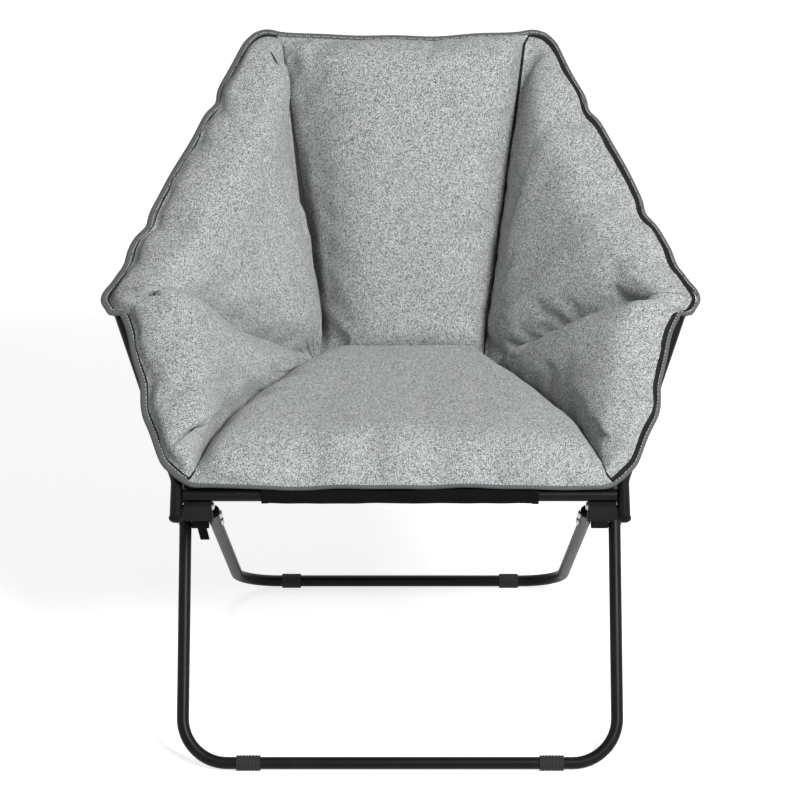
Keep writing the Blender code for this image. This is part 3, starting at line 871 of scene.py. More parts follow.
# Slow swells all over a pad, and the pleats in a ring about the seat's left rear corner
SOFT_HEIGHT = 0.0018
SOFT_PITCH = 10.0
SOFT_START = 0.030
PLEAT_HEIGHT = 0.0060
PLEAT_PITCH = 0.36
PLEAT_DRIFT = 4.0
PLEAT_AWAY = 0.034
PLEAT_WIDTH = 0.020
PLEAT_START = 0.006


def side_word(name):
    return name.split("_")[-1]


def side_sign(name):
    return 1 if name.endswith("right") else -1


def pad_grid(name):
    """The seam-to-seam sheet that a pad is built on."""
    pad = PADS[name]
    rim = rim_run(pad.start, pad.stop, 0.0, GRID)
    flange = rim_run(pad.start, pad.stop, FLANGE, GRID)
    crease = []
    for i in range(ROW):
        share = i / GRID
        crease.append(crease_spot(-1).lerp(crease_spot(1), share) + Vector((0.0, 0.0, CREASE_ARCH * bow(share))))
    if name == "seat_pad":
        grid = seat_grid(rim, flange, crease)
    elif name == "back_pad":
        grid = ruled_grid(rim, flange, crease[::-1])
    else:
        grid = wing_grid(rim, flange, side_sign(name), name.startswith("upper"))
    if any(pad.strips):
        grid = [set_strips(row, *(strip_width(width, r) for width in pad.strips)) for r, row in enumerate(grid)]
    return grid


def strip_width(width, r):
    """A strip's width at a row: a wide one narrows towards the rim."""
    return min(width, SEAM_LINE + width * smooth_step(0.0, STRIP_FULL, r / GRID))


def set_strips(row, first, last):
    """A row of the sheet with its outermost points moved to these distances from its ends, and the rest evened out."""
    whole = path_length(row)
    start, stop = min(first, whole / 4), min(last, whole / 4)
    inner = GRID - (first > 0) - (last > 0)
    wants = [start + (whole - start - stop) * i / inner for i in range(inner + 1)]
    return at_lengths(row, [0.0] * (first > 0) + wants + [whole] * (last > 0))


def grid_normal(grid, r, c):
    across = grid[r][min(c + 1, GRID)] - grid[r][max(c - 1, 0)]
    along = grid[min(r + 1, GRID)][c] - grid[max(r - 1, 0)][c]
    normal = across.cross(along).normalized()
    return normal if normal.dot(UP) > 0 else -normal


def arm_normals(grids, word):
    """The directions, one a row, that both wings of a side share on the seam to the arm."""
    shared = []
    for row in range(ROW):
        total = Vector((0.0, 0.0, 0.0))
        for name in (f"upper_wing_{word}", f"lower_wing_{word}"):
            total += grid_normal(grids[name], row, 0 if PADS[name].arm == 2 else GRID)
        shared.append(total.normalized())
    return shared


def arm_fade(name, row):
    """How far the seam to the arm has faded out at this row: 0 near the seat's corner, 1 at the arm."""
    if PADS[name].arm is None:
        return 0.0
    return smooth_step(*ARM_SEAM_ENDS[side_word(name)], 1.0 - row / GRID)


def pad_height(name, near, row, crown):
    """How far a pad's top stands over its sheet at a point, by the point's distances from the four seams."""
    pad = PADS[name]
    clear = (TAPE_TUCK + RIM_ROW * pad.rim_rows, 0.0, *pad.strips)
    full = rest = 1.0
    for side, (distance, shoulder) in enumerate(zip(near, pad.shoulders)):
        part = fullness(distance - clear[side], shoulder)
        if side == pad.arm:
            part += (1.0 - part) * arm_fade(name, row)
        full *= part
        rest *= part if side else 1.0
    height = crown * full
    if name.endswith("wing_left"):
        rolled = fullness(near[0] - clear[0], BOLSTER_SHOULDER) * (1.0 - smooth_step(*BOLSTER_ENDS, near[0]))
        height += LEFT_BOLSTER * rest * rolled
    if pad.arm is not None:
        plump = ARM_PLUMP * arm_fade(name, row) * math.exp(-near[pad.arm] / ARM_PLUMP_REACH)
        height += plump * fullness(near[0] - clear[0], ARM_SHOULDER)
    if name == "upper_wing_left":
        height *= 1.0 - FOLD_SLACK * (1.0 - fullness(near[2], FOLD_REACH))
    if name == "back_pad":
        height -= groove_depth(row) * math.exp(-((near[3] / GROOVE_R) ** 2))
    return height, full


def groove_depth(row):
    """How deep the back is drawn in beside the left wing's fold: more towards the seat."""
    return BACK_GROOVE * rise_and_fall(row / GRID, *GROOVE_SPAN)


def front_flap(point):
    """How far down and how far back the lining hangs from the rim, towards the front rail and the side tubes."""
    place = point - ring_spot(0.0, 0.0, 0.0)
    across = abs(place.x)
    past_sleeve = smooth_step(*PAST_SLEEVE, across)
    drop = SLEEVE_FLAP + (RAIL_FLAP - SLEEVE_FLAP) * past_sleeve
    drop += (TUBE_FLAP - drop) * smooth_step(*NEAR_TUBE, across)
    drop *= 1.0 - smooth_step(*FLAP_ENDS, place.dot(ALONG))
    return drop, FLAP_BACK * (1.0 - past_sleeve) * min(drop / SLEEVE_FLAP, 1.0)


def pad_mesh(name, grids, crown):
    """A pad before it is filled: crowned on top, drawn in to its seams, with its edges turned down and lined."""
    pad = PADS[name]
    grid = grids[name]
    reach = seam_reach(grid)
    shared = arm_normals(grids, side_word(name)) if pad.arm is not None else None
    top, under = [], []
    for r in range(ROW):
        for c in range(ROW):
            near = reach[r][c]
            normal = grid_normal(grid, r, c)
            if shared:
                normal = normal.lerp(shared[r], math.exp(-((near[pad.arm] / ARM_BLEND) ** 2))).normalized()
            height, full = pad_height(name, near, r, crown)
            point = grid[r][c]
            if name == "upper_wing_left" and c > 0:
                across = (grid[r][1] - grid[r][0]).normalized()
                roll = FOLD_ROLL * math.exp(-near[2] / ROLL_FADE) * (1.0 - math.exp(-near[2] / ROLL_START))
                point = point - across * roll * smooth_step(*ROLL_SPAN, r / GRID)
            sewn = r in (0, GRID) or c in (0, GRID)
            depth = RIM_TURN if r == 0 else SEAM_TURN if sewn else UNDER_LEAST + UNDER_SWELL * full
            if name == "upper_wing_left" and c == 0:
                depth += groove_depth(r)
            depth = max(depth, LEAST_FILL - height)
            top.append(point + normal * (TOP_LIFT + height))
            spill = Vector((0.0, 0.0, 0.0))
            if sewn and r > 0:
                inside = grid[min(r, GRID - 1)][min(max(c, 1), GRID - 1)]
                spill = (grid[r][c] - inside).normalized() * SEAM_SPILL
            hang, back = front_flap(grid[r][c]) if r == 0 else (0.0, 0.0)
            drop = UP * hang - ALONG * back if hang > depth else normal * depth
            under.append(grid[r][c] - drop + spill)
    faces, marks, border = pad_faces(pad)
    thing = piece(f"{name}_filled", top + under, faces, ["heather_cloth", "lining_cloth"], CLOTH_SHARP, None, marks)
    return thing, reach, set(border)


def pad_faces(pad):
    """The faces of a pad's top, underside and turned-down edge, their finish numbers, and the points of its border."""
    base = ROW * ROW
    faces, marks = [], []
    for r in range(GRID):
        for c in range(GRID):
            quad = (r * ROW + c, r * ROW + c + 1, (r + 1) * ROW + c + 1, (r + 1) * ROW + c)
            faces += [quad, tuple(base + i for i in reversed(quad))]
            # Faces marked black here are lining that stands partly for the backing and partly for painted shade in the
            # grooves and beside the tape
            dark = r < min(pad.rim_rows, DARK_ROWS) or (pad.strips[0] and c == 0) or (pad.strips[1] and c == GRID - 1)
            marks += [1 if dark else 0, 1]
    border = list(range(ROW)) + [r * ROW + GRID for r in range(1, ROW)]
    border += [GRID * ROW + c for c in range(GRID - 1, -1, -1)] + [r * ROW for r in range(GRID - 1, 0, -1)]
    for i, j in zip(border, border[1:] + border[:1]):
        faces.append((i, base + i, base + j, j))
        marks.append(1)
    return faces, marks, border


def fill_pad(thing, name, reach, border):
    """Swells a pad with Cloth pressure, its seams and underside held, and keeps the result as its mesh."""
    mesh = thing.data
    base = ROW * ROW
    held = thing.vertex_groups.new(name="held")
    held.add([i for i in range(2 * base) if i >= base or i in border], 1.0, "REPLACE")
    start = [vertex.co.copy() for vertex in mesh.vertices]
    cloth = thing.modifiers.new("fill", "CLOTH")
    for key, value in FILLING.items():
        setattr(cloth.settings, key, value)
    cloth.settings.effector_weights.gravity = 0.0
    cloth.collision_settings.use_collision = False
    cloth.point_cache.frame_start = 1
    cloth.point_cache.frame_end = FILL_FRAMES
    scene = bpy.context.scene
    for frame in range(1, FILL_FRAMES + 1):
        scene.frame_set(frame)
    filled = thing.evaluated_get(bpy.context.evaluated_depsgraph_get())
    moved = [vertex.co.copy() for vertex in filled.to_mesh().vertices]
    filled.to_mesh_clear()
    thing.modifiers.remove(cloth)
    thing.vertex_groups.remove(held)
    scene.frame_set(1)
    arm = PADS[name].arm
    for i in range(base):
        step = moved[i] - start[i]
        if step.length > 0.0:
            share = SWELL_CAP * math.tanh(step.length / SWELL_CAP) / step.length
            if arm is not None:
                near = reach[i // ROW][i % ROW][arm]
                share *= 1.0 - arm_fade(name, i // ROW) * math.exp(-near / ARM_HOLD)
            if name == "upper_wing_left":
                share *= 1.0 - math.exp(-reach[i // ROW][i % ROW][2] / FOLD_HOLD)
            mesh.vertices[i].co = start[i] + step * share


def fold_pad(thing, name, grid, reach, height):
    """Adds the small folds that the stitches draw into a pad, and the pleats about the seat's left rear corner."""
    pad = PADS[name]
    mesh = thing.data
    normals = [vertex.normal.copy() for vertex in mesh.vertices]
    tip = crease_spot(side_sign(name))
    for r in range(1, GRID):
        for c in range(1, GRID):
            near = reach[r][c]
            sides = list(pad.sides)
            if pad.arm is not None:
                sides[pad.arm] *= 1.0 - ARM_FOLD_LOSS * arm_fade(name, r)
            lift = folds(near, (near[2], near[0]), sides, pad.seed, height)
            inside = min(near)
            soft = noise.noise(grid[r][c] * SOFT_PITCH + Vector((pad.seed, 0.0, 0.0)))
            lift += SOFT_HEIGHT * soft * (1.0 - math.exp(-inside / SOFT_START))
            if name.endswith("wing_left"):
                away = (grid[r][c] - tip).length
                star = noise.noise(Vector((c * PLEAT_PITCH, pad.seed, away * PLEAT_DRIFT)))
                near_ring = math.exp(-(((away - PLEAT_AWAY) / PLEAT_WIDTH) ** 2))
                lift += PLEAT_HEIGHT * star * near_ring * min(inside / PLEAT_START, 1.0)
            i = r * ROW + c
            fill = (mesh.vertices[i].co - mesh.vertices[ROW * ROW + i].co).dot(normals[i])
            mesh.vertices[i].co += normals[i] * max(lift, LEAST_FILL - fill)


def dent_pad(thing, name, grids):
    """Presses in the dimple where the right arm's seam ends, the same in both wings."""
    row = round((1.0 - DIMPLE_SHARE) * GRID)
    grid = grids[name]
    centre = grid[row][0 if PADS[name].arm == 2 else GRID]
    push = arm_normals(grids, side_word(name))[row] * DIMPLE_DEPTH
    for r in range(1, GRID):
        for c in range(ROW):
            away = (grid[r][c] - centre).length
            thing.data.vertices[r * ROW + c].co -= push * math.exp(-((away / DIMPLE_R) ** 2))


def map_cloth(thing):
    """Maps a pad's cloth in metres, measured along its rows and columns, so that the weave keeps its size."""
    mesh = thing.data
    spots = [[mesh.vertices[r * ROW + c].co for c in range(ROW)] for r in range(ROW)]
    flat = {}
    for r in range(ROW):
        run = -path_length(spots[r][: GRID // 2 + 1])
        for c in range(ROW):
            run += (spots[r][c] - spots[r][c - 1]).length if c else 0.0
            flat[r, c] = [run, 0.0]
    for c in range(ROW):
        drop = 0.0
        for r in range(ROW):
            drop += (spots[r][c] - spots[r - 1][c]).length if r else 0.0
            flat[r, c][1] = drop
    layer = mesh.uv_layers.new(name="cloth")
    for corner in mesh.loops:
        i = corner.vertex_index % (ROW * ROW)
        layer.data[corner.index].uv = flat[i // ROW, i % ROW]


def soften(thing):
    """One subdivision that keeps the edges where the turned-down seams meet the cloth."""
    mesh = thing.data
    crease = mesh.attributes.new("crease_edge", "FLOAT", "EDGE")
    sewn = {}
    for face in list(mesh.polygons)[2 * GRID * GRID:]:
        for key in face.edge_keys:
            sewn[key] = sewn.get(key, 0) + 1
    for edge in mesh.edges:
        crease.data[edge.index].value = 1.0 if sewn.get(edge.key) == 1 else 0.0
    smooth = thing.modifiers.new("smooth", "SUBSURF")
    smooth.levels = 1
    smooth.render_levels = 1


class CHAIR_OT_cover(bpy.types.Operator):
    """Makes the six padded panels of the cover."""

    bl_idname = "chair.cover"
    bl_label = "Padded cover"

    def execute(self, context):
        sizes = context.scene.chair_sizes
        crowns = {"seat_pad": sizes.seat_crown, "back_pad": sizes.back_crown}
        grids = {name: pad_grid(name) for name in PADS}
        for name in PADS:
            thing, reach, border = pad_mesh(name, grids, crowns.get(name, sizes.wing_crown))
            fill_pad(thing, name, reach, border)
            fold_pad(thing, name, grids[name], reach, sizes.pucker)
            if name.endswith("wing_right"):
                dent_pad(thing, name, grids)
            map_cloth(thing)
            soften(thing)
            place_on(thing, "seat_frame", name)
        return {"FINISHED"}


TAPE_STEPS = 720
TAPE_SIDES = 16
TAPE_THICK = 0.0031
TAPE_OUT = 0.0055
TAPE_SQUARE = 0.8
TAPE_BUNCH = 0.10
BUNCH_PITCH = 0.31
BUNCH_SEED = 4.0
# How much narrower the tape lies on the front and right and on the top, with places counted in sides of the rim
RIGHT_NARROWING = 0.44
TOP_NARROWING = 0.22
CORNER_BLEND = 0.1
TOP_SPAN = (2.9, 3.1, 3.9, 4.1)
STITCH_LIE = math.radians(118.0)
STITCH_PITCH = 0.0045
STITCH_LENGTH = 0.0028
STITCH_R = 0.00055
# A stitch's places along its length and its widths there, as shares
STITCH_SHAPE = ((-0.5, 0.3), (-0.28, 1.0), (0.28, 1.0), (0.5, 0.3))
STITCH_WAYS = [math.pi * turn / 3 for turn in range(6)]


def squared_cosine(angle):
    """A cosine that makes an oval a little squarer."""
    return math.copysign(abs(math.cos(angle)) ** TAPE_SQUARE, math.cos(angle))


def stitch(points, faces, centre, along, up):
    """Adds one thread stitch: a short bar with pointed ends that lies on the tape."""
    base = len(points)
    across = along.cross(up).normalized()
    ways = [math.cos(turn) * across + math.sin(turn) * up for turn in STITCH_WAYS]
    loops = []
    for share, width in STITCH_SHAPE:
        middle = centre + along * STITCH_LENGTH * share
        loops.append([middle + way * STITCH_R * width for way in ways])
    bar, sides = loft(loops)
    points += bar
    faces += [tuple(base + i for i in face) for face in sides]


class CHAIR_OT_binding(bpy.types.Operator):
    """Makes the ribbed tape that is folded over the cover's rim, with the stitches that hold it."""

    bl_idname = "chair.binding"
    bl_label = "Edge tape"

    def execute(self, context):
        whole = context.scene.chair_sizes.tape_width / 2
        line = rim_run(0.0, 6.0, 0.0, TAPE_STEPS)[:-1]
        count = len(line)
        loops, runs, threads = [], [0.0], []
        for i, point in enumerate(line):
            ahead = (line[(i + 1) % count] - line[i - 1]).normalized()
            out = ahead.cross(UP).normalized()
            up = out.cross(ahead).normalized()
            turn = 6.0 * i / count
            before_top = 1.0 - smooth_step(*TOP_SPAN[:2], turn)
            before_top *= smooth_step(-CORNER_BLEND, CORNER_BLEND, min(turn, 6.0 - turn))
            half = whole * (1.0 - RIGHT_NARROWING * before_top - TOP_NARROWING * rise_and_fall(turn, *TOP_SPAN))
            thick = TAPE_THICK * (1.0 + TAPE_BUNCH * noise.noise(Vector((i * BUNCH_PITCH, BUNCH_SEED, 0.0))))
            centre = point + out * (TAPE_OUT - half)
            loop = []
            for side in range(TAPE_SIDES):
                angle = 2 * math.pi * side / TAPE_SIDES
                loop.append(centre + out * half * squared_cosine(angle) + up * thick * math.sin(angle))
            loops.append(loop)
            step = (line[(i + 1) % count] - point).length
            if int((runs[-1] + step) / STITCH_PITCH) > int(runs[-1] / STITCH_PITCH):
                lie = centre + out * half * squared_cosine(STITCH_LIE) + up * thick * math.sin(STITCH_LIE)
                threads.append((lie, ahead, up))
            runs.append(runs[-1] + step)
        points, faces = loft(loops, closed=True)
        places = []
        for row in range(count):
            for side in range(TAPE_SIDES):
                low, high = side / TAPE_SIDES, (side + 1) / TAPE_SIDES
                places.append([(runs[row], low), (runs[row], high), (runs[row + 1], high), (runs[row + 1], low)])
        marks = [0] * len(faces)
        for thread in threads:
            stitch(points, faces, *thread)
        places += [[(0.0, 0.0)] * len(face) for face in faces[len(places):]]
        marks += [1] * (len(faces) - len(marks))
        thing = piece("edge_binding_sewn", points, faces, ["tape_cloth", "pale_thread"], CLOTH_SHARP, places, marks)
        place_on(thing, "seat_frame", "edge_binding")
        return {"FINISHED"}


class CHAIR_OT_tubes(bpy.types.Operator):
    """Makes the painted tubes: both legs, the hoop, the side tubes and the front rail."""

    bl_idname = "chair.tubes"
    bl_label = "Tubes"

    def execute(self, context):
        for name, foot, end, half, foot_half, body in (
            ("front_leg", FRONT_FOOT, LUG, FRONT_HALF, FRONT_HALF, "front_frame"),
            ("rear_leg", REAR_FOOT, LINK, REAR_HALF, REAR_FOOT_HALF, "rear_frame"),
        ):
            stop = end + (end - CROSSING).normalized() * LEG_END
            down = [Vector((half, CROSSING.y, CROSSING.z)), Vector((foot_half, foot.y, foot.z))]
            path = rounded(down + [Vector((-p.x, p.y, p.z)) for p in reversed(down)], BEND_R)
            path = [Vector((half, stop.y, stop.z))] + path + [Vector((-half, stop.y, stop.z))]
            tube(name, path, body)
        hoop = []
        for side, word in SIDES:
            arm, top, knee, front = ring_corners(side)
            start = arm + (top - arm).normalized() * (ELBOW_HALF + FIT)
            hoop += [start, top] if side < 0 else [top, start]
            low = arm + (knee - arm).normalized() * (ELBOW_HALF + FIT)
            tube(f"side_tube_{word}", rounded([low, knee, front], RING_BEND_R), "seat_frame")
        tube("back_hoop", rounded(hoop, RING_BEND_R), "seat_frame")
        low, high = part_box("front_rail")
        rail = [Vector((x, (low.y + high.y) / 2, (low.z + high.z) / 2)) for x in (low.x, high.x)]
        tube("front_rail", rail, "seat_frame")
        return {"FINISHED"}


CLOTH_ROWS = 150
CLOTH_SIDES = 28
CLOTH_R = 0.0105
CLOTH_SLACK = 0.0009
SLACK_PITCH = 30.0
SLACK_ROUND = 1.3
CLOTH_THICK = 0.0012
HEM_LIFT = 0.0006
HEM_WIDTH = 0.009


class CHAIR_OT_rail_sleeve(bpy.types.Operator):
    """Makes the black cloth sleeve on the front rail, a little loose, with a hem at each end."""

    bl_idname = "chair.rail_sleeve"
    bl_label = "Rail sleeve"

    def execute(self, context):
        low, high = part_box("rail_sleeve")
        middle = (low + high) / 2
        length = high.x - low.x
        outer, inner = [], []
        for row in range(CLOTH_ROWS + 1):
            share = row / CLOTH_ROWS
            x = low.x + share * length
            hem = min(share, 1.0 - share) * length
            lift = HEM_LIFT if hem < HEM_WIDTH else 0.0
            centre = Vector((x, middle.y, middle.z))
            ring_out, ring_in = [], []
            for side in range(CLOTH_SIDES):
                turn = 2 * math.pi * side / CLOTH_SIDES
                across, over = math.cos(turn), math.sin(turn)
                slack = noise.noise(Vector((x * SLACK_PITCH, across * SLACK_ROUND, over * SLACK_ROUND)))
                radius = CLOTH_R + lift + CLOTH_SLACK * slack
                way = across * ALONG + over * UP
                ring_out.append(centre + way * radius)
                ring_in.append(centre + way * (radius - CLOTH_THICK))
            outer.append(ring_out)
            inner.append(ring_in)
        points, faces = loft(outer + inner[::-1], closed=True)
        # The sleeve's cloth is the lining's cloth, darkened with painted shade
        thing = piece("rail_sleeve_cloth", points, faces, ["rail_cloth"], ROUND_SHARP)
        place_on(thing, "seat_frame", "rail_sleeve")
        return {"FINISHED"}


FOOT_RIBS = 7
FOOT_SIDES = 48
FOOT_EDGE = 0.0012
FOOT_ROUND = 0.0006
RIB_ROWS = 16
RIB_DEPTH = 0.0007
RIB_POWER = 0.7


def bar_loop(bar, x, radius):
    """A circle round a floor bar."""
    return circle(Vector((x, bar.y, bar.z)), Vector((0, 1, 0)), Vector((0, 0, 1)), radius, FOOT_SIDES)


class CHAIR_OT_feet(bpy.types.Operator):
    """Makes the sleeves that the floor bars stand on, ribbed in front and smooth behind."""

    bl_idname = "chair.feet"
    bl_label = "Foot sleeves"

    def execute(self, context):
        for _, word in SIDES:
            self.sleeve(f"front_foot_{word}", FRONT_FOOT, FOOT_RIBS, "front_frame")
            self.sleeve(f"rear_foot_{word}", REAR_FOOT, 0, "rear_frame")
        return {"FINISHED"}

    def sleeve(self, name, bar, ribs, body):
        low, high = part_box(name)
        length = high.x - low.x
        rows = RIB_ROWS * max(ribs, 2)
        outer = []
        for row in range(rows + 1):
            place = row / rows * length
            edge = min(place, length - place)
            radius = SLEEVE_R - FOOT_ROUND * max(1.0 - edge / FOOT_EDGE, 0.0) ** 2
            if ribs and edge > FOOT_EDGE:
                wave = math.sin(2 * math.pi * place / length * (ribs + 0.5) - math.pi)
                radius -= RIB_DEPTH * max(wave, 0.0) ** RIB_POWER
            ring = bar_loop(bar, low.x + place, radius)
            outer.append([Vector((p.x, p.y, max(p.z, 0.0))) for p in ring])
        inner = [bar_loop(bar, x, TUBE_R + FIT) for x in (high.x, low.x)]
        thing = piece(f"{name}_moulded", *loft(outer + inner, closed=True), ["foot_rubber"])
        place_on(thing, body, name)


CAP_R = TUBE_R + 0.0008
CAP_EDGE = 0.0003
CAP_PROFILE = [(FIT, CAP_R - CAP_EDGE), (0.0006, CAP_R), (0.0026, CAP_R), (0.0030, CAP_R - 0.0002)]
CAP_PROFILE += dome(0.0031, 0.0038, CAP_R - CAP_EDGE)
ELBOW_STEPS = 40
ELBOW_BEAD = 0.0005


class CHAIR_OT_caps(bpy.types.Operator):
    """Makes the domed plugs in the tubes' ends and the moulded elbows at the arms."""

    bl_idname = "chair.caps"
    bl_label = "Caps and elbows"

    def execute(self, context):
        for side, word in SIDES:
            arm, top, knee, front = ring_corners(side)
            to_knee = (knee - arm).normalized()
            to_top = (top - arm).normalized()
            front_up = (LUG - CROSSING).normalized()
            across = Vector((side, 0.0, 0.0))
            self.cap(f"front_leg_cap_{word}", LUG + across * FRONT_HALF + front_up * LEG_END, front_up, "front_frame")
            self.cap(f"rear_leg_cap_{word}", LINK + across * REAR_HALF + REAR_UP * LEG_END, REAR_UP, "rear_frame")
            self.cap(f"side_tube_cap_{word}", front, (front - knee).normalized(), "seat_frame")
            path = rounded([arm + to_knee * ELBOW_HALF, arm, arm + to_top * ELBOW_HALF], RING_BEND_R)
            ends = [min(i, ELBOW_STEPS - i) for i in range(ELBOW_STEPS + 1)]
            radii = [CAP_R - CAP_EDGE * max(1 - e, 0) + (ELBOW_BEAD if 1 <= e <= 4 else 0.0) for e in ends]
            loops = sweep_loops(spread(path, ELBOW_STEPS), radii)
            elbow = piece(f"arm_elbow_{word}_moulded", *loft(loops), ["moulded_plastic"])
            place_on(elbow, "seat_frame", f"arm_elbow_{word}")
        return {"FINISHED"}

    def cap(self, name, end, direction, body):
        loops = turned_loops(end, direction, CAP_PROFILE)
        thing = piece(f"{name}_domed", *loft(loops), ["moulded_plastic"], ROUND_SHARP)
        place_on(thing, body, name)


HEAD_HEIGHT = 0.0034
HEAD_R = 0.0056
HEAD_STEPS = 8
HEAD_FLAT = 0.0004
RIVET_SIDES = 32
SHANK_R = 0.0030


class CHAIR_OT_rivets(bpy.types.Operator):
    """Makes the zinc rivets and pins with their domed heads."""

    bl_idname = "chair.rivets"
    bl_label = "Rivets"

    def execute(self, context):
        for kind, body in (
            ("leg_pivot_bolt", "front_frame"),
            ("ring_bolt", "front_frame"),
            ("link_bolt", "rear_frame"),
            ("link_pin", "links"),
        ):
            for _, word in SIDES:
                name = f"{kind}_{word}"
                low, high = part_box(name)
                neck = (high.x - low.x) / 2 - HEAD_HEIGHT
                head = dome(neck, HEAD_HEIGHT, HEAD_R, HEAD_STEPS, HEAD_FLAT)
                profile = [(-along, radius) for along, radius in reversed(head)]
                profile += [(-neck, SHANK_R), (neck, SHANK_R)] + head
                loops = turned_loops((low + high) / 2, Vector((1.0, 0.0, 0.0)), profile, RIVET_SIDES)
                thing = piece(f"{name}_domed", *loft(loops), ["zinc_plate"], ROUND_SHARP)
                place_on(thing, body, name)
        return {"FINISHED"}


# Trim joined on each bracket: its span across, then its lowest and highest place along the ring and over it
BRACKET_TRIM = (
    ("apron", (0.2372, 0.2722), (-0.0145, -0.0470), (-0.0086, -0.0020)),
    ("ear", (0.2690, 0.2830), (-0.0135, -0.0460), (-0.0090, -0.0092)),
)
PULL_BOX = (-0.2655, -0.0085, -0.0235), (-0.2540, -0.0045, 0.0)
PULL_SLANT = 0.005
EDGE_R = 0.0009
EDGE_TURN = math.radians(PLAIN_SHARP)


def crossing_spot(x, along, up):
    return CROSSING + Vector((x, along, up))


def block(name, place, low, high, slant=0.0):
    """A block between two corners, across, along and up from a place, whose foot may be moved across."""
    loops = []
    for up in (low[2], high[2]):
        move = slant if up == low[2] else 0.0
        corners = ((low[0], low[1]), (high[0], low[1]), (high[0], high[1]), (low[0], high[1]))
        loops.append([place(x + move, along, up) for x, along in corners])
    return piece(name, *loft(loops), ["moulded_plastic"])


def join_on(thing, helper):
    """Joins a block to a piece for good."""
    join = thing.modifiers.new("join", "BOOLEAN")
    join.operation = "UNION"
    join.solver = "EXACT"
    join.object = helper
    joined = bpy.data.meshes.new_from_object(thing.evaluated_get(bpy.context.evaluated_depsgraph_get()))
    thing.modifiers.remove(join)
    spare = thing.data
    thing.data = joined
    bpy.data.meshes.remove(spare)
    used = helper.data
    bpy.data.objects.remove(helper)
    bpy.data.meshes.remove(used)


class CHAIR_OT_fittings(bpy.types.Operator):
    """Makes the moulded brackets, lugs, links and spacers, with their edges rounded."""

    bl_idname = "chair.fittings"
    bl_label = "Moulded fittings"

    def execute(self, context):
        for kind, body in (
            ("corner_bracket", "seat_frame"),
            ("ring_lug", "seat_frame"),
            ("side_link", "links"),
            ("pivot_spacer", "front_frame"),
        ):
            for side, word in SIDES:
                self.fitting(kind, side, word, body)
        return {"FINISHED"}

    def fitting(self, kind, side, word, body):
        name = f"{kind}_{word}"
        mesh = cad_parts[name].data.copy()
        mesh.name = f"{name}_moulded"
        shape = bmesh.new()
        shape.from_mesh(mesh)
        bmesh.ops.remove_doubles(shape, verts=shape.verts, dist=1e-5)
        bmesh.ops.dissolve_limit(shape, angle_limit=math.radians(1.0), verts=shape.verts, edges=shape.edges)
        shape.to_mesh(mesh)
        shape.free()
        mesh.materials.clear()
        mesh.materials.append(finish("moulded_plastic"))
        thing = add(f"{name}_moulded", mesh)
        if kind == "corner_bracket":
            for part, span, low, high in BRACKET_TRIM:
                start, stop = sorted(side * x for x in span)
                join_on(thing, block(part, ring_spot, (start, *low), (stop, *high)))
        if name == "pivot_spacer_left":
            join_on(thing, block("pull", crossing_spot, *PULL_BOX, PULL_SLANT))
        edge = thing.modifiers.new("rounded edges", "BEVEL")
        edge.width = EDGE_R
        edge.segments = 3
        edge.limit_method = "ANGLE"
        edge.angle_limit = EDGE_TURN
        edge.use_clamp_overlap = True
        thing.data.shade_smooth()
        thing.data.set_sharp_from_angle(angle=EDGE_TURN)
        place_on(thing, body, name)


FLOOR_REACH = 14.0
FLOOR_GAP = 0.0004
WORLD_LIGHT = 0.14
# Each lamp's place, the point it looks at, its width in metres and its power in watts
LAMPS = (
    ("key_lamp", (1.62, -2.38, 2.75), (0.0, 0.0, 0.45), 1.2, 156.0),
    ("fill_lamp", (-2.3, -1.7, 1.4), (0.0, 0.0, 0.4), 1.6, 3.0),
    ("back_lamp", (0.3, 2.4, 2.3), (0.0, 0.1, 0.5), 1.6, 12.0),
)
LENS = 139.68
SENSOR = 36.0
CAMERA = (0.0, -3.719454, 2.1195)
CAMERA_TURN = math.radians(65.0)


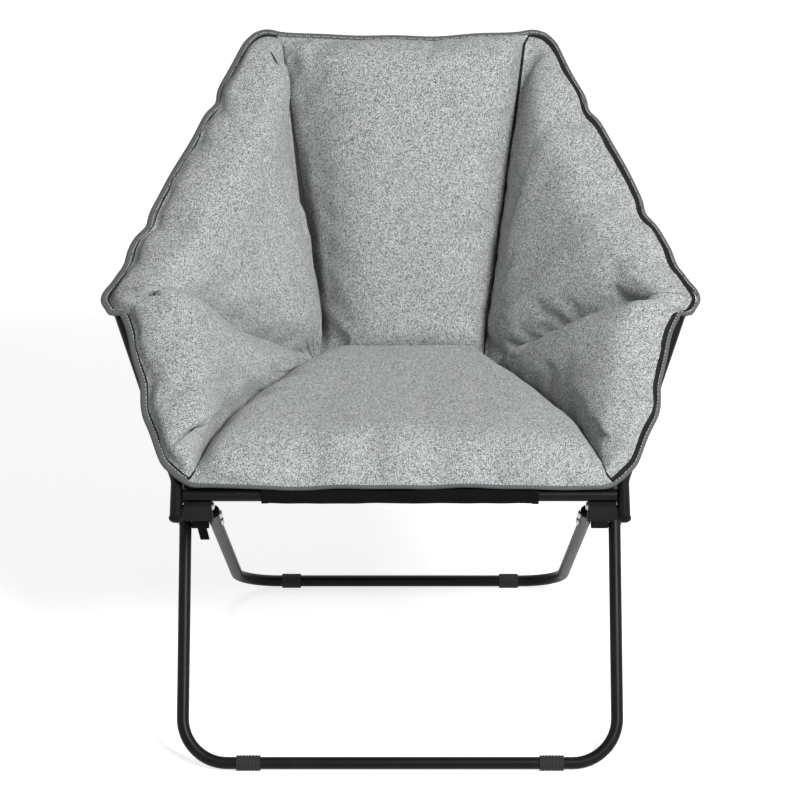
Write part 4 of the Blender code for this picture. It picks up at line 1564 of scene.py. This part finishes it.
class CHAIR_OT_stage(bpy.types.Operator):
    """Sets the pale floor, the soft studio lamps, the world and the camera."""

    bl_idname = "chair.stage"
    bl_label = "Stage"

    def execute(self, context):
        scene = context.scene
        scene.view_settings.view_transform = "Standard"
        mesh = bpy.data.meshes.new("studio_floor")
        corners = [(x * FLOOR_REACH, y * FLOOR_REACH, 0) for x, y in ((-1, -1), (1, -1), (1, 1), (-1, 1))]
        mesh.from_pydata(corners, [], [(0, 1, 2, 3)])
        mesh.materials.append(finish("studio_floor"))
        floor = add("studio_floor", mesh)
        floor.location.z = -FLOOR_GAP
        world = bpy.data.worlds.new("studio")
        scene.world = world
        world.use_nodes = True
        look = Look(world.node_tree)
        seen = seen_rays(look)
        soft = look.node("ShaderNodeBackground", None, {"Color": WHITE, "Strength": WORLD_LIGHT})
        plain = look.node("ShaderNodeBackground", None, {"Color": WHITE, "Strength": 1.0})
        both = look.node("ShaderNodeMixShader", None, {0: seen, 1: soft, 2: plain})
        look.feed(world.node_tree.nodes["World Output"].inputs["Surface"], both)
        for name, place, aim, size, power in LAMPS:
            lamp = bpy.data.lights.new(name, "AREA")
            lamp.shape = "DISK"
            lamp.size = size
            lamp.energy = power
            stand = add(name, lamp)
            stand.location = place
            stand.rotation_euler = (Vector(aim) - Vector(place)).to_track_quat("-Z", "Y").to_euler()
        lens = bpy.data.cameras.new("front_view")
        lens.lens = LENS
        lens.sensor_width = SENSOR
        camera = add("front_view", lens)
        camera.location = CAMERA
        camera.rotation_euler = (CAMERA_TURN, 0.0, 0.0)
        scene.camera = camera
        return {"FINISHED"}


class CHAIR_PT_build(bpy.types.Panel):
    """Lists the chair's pieces, sizes and colours."""

    bl_idname = "CHAIR_PT_build"
    bl_label = "Bucket Chair"
    bl_space_type = "VIEW_3D"
    bl_region_type = "UI"
    bl_category = "Chair"

    def draw(self, context):
        for group in (context.scene.chair_sizes, context.scene.chair_colours):
            for key in group.__annotations__:
                self.layout.prop(group, key)
        for operator in OPERATORS:
            self.layout.operator(operator.bl_idname)


OPERATORS = (
    CHAIR_OT_stage,
    CHAIR_OT_cover,
    CHAIR_OT_binding,
    CHAIR_OT_tubes,
    CHAIR_OT_rail_sleeve,
    CHAIR_OT_feet,
    CHAIR_OT_caps,
    CHAIR_OT_rivets,
    CHAIR_OT_fittings,
)
CLASSES = (ChairSizes, ChairColours, *OPERATORS, CHAIR_PT_build)


def register():
    for kind in CLASSES:
        bpy.utils.register_class(kind)
    bpy.types.Scene.chair_sizes = bpy.props.PointerProperty(type=ChairSizes)
    bpy.types.Scene.chair_colours = bpy.props.PointerProperty(type=ChairColours)


def unregister():
    del bpy.types.Scene.chair_colours
    del bpy.types.Scene.chair_sizes
    for kind in reversed(CLASSES):
        bpy.utils.unregister_class(kind)


def main():
    register()
    bpy.ops.chair.stage()
    bpy.ops.chair.cover()
    bpy.ops.chair.binding()
    bpy.ops.chair.tubes()
    bpy.ops.chair.rail_sleeve()
    bpy.ops.chair.feet()
    bpy.ops.chair.caps()
    bpy.ops.chair.rivets()
    bpy.ops.chair.fittings()


if __name__ == "__main__":
    main()
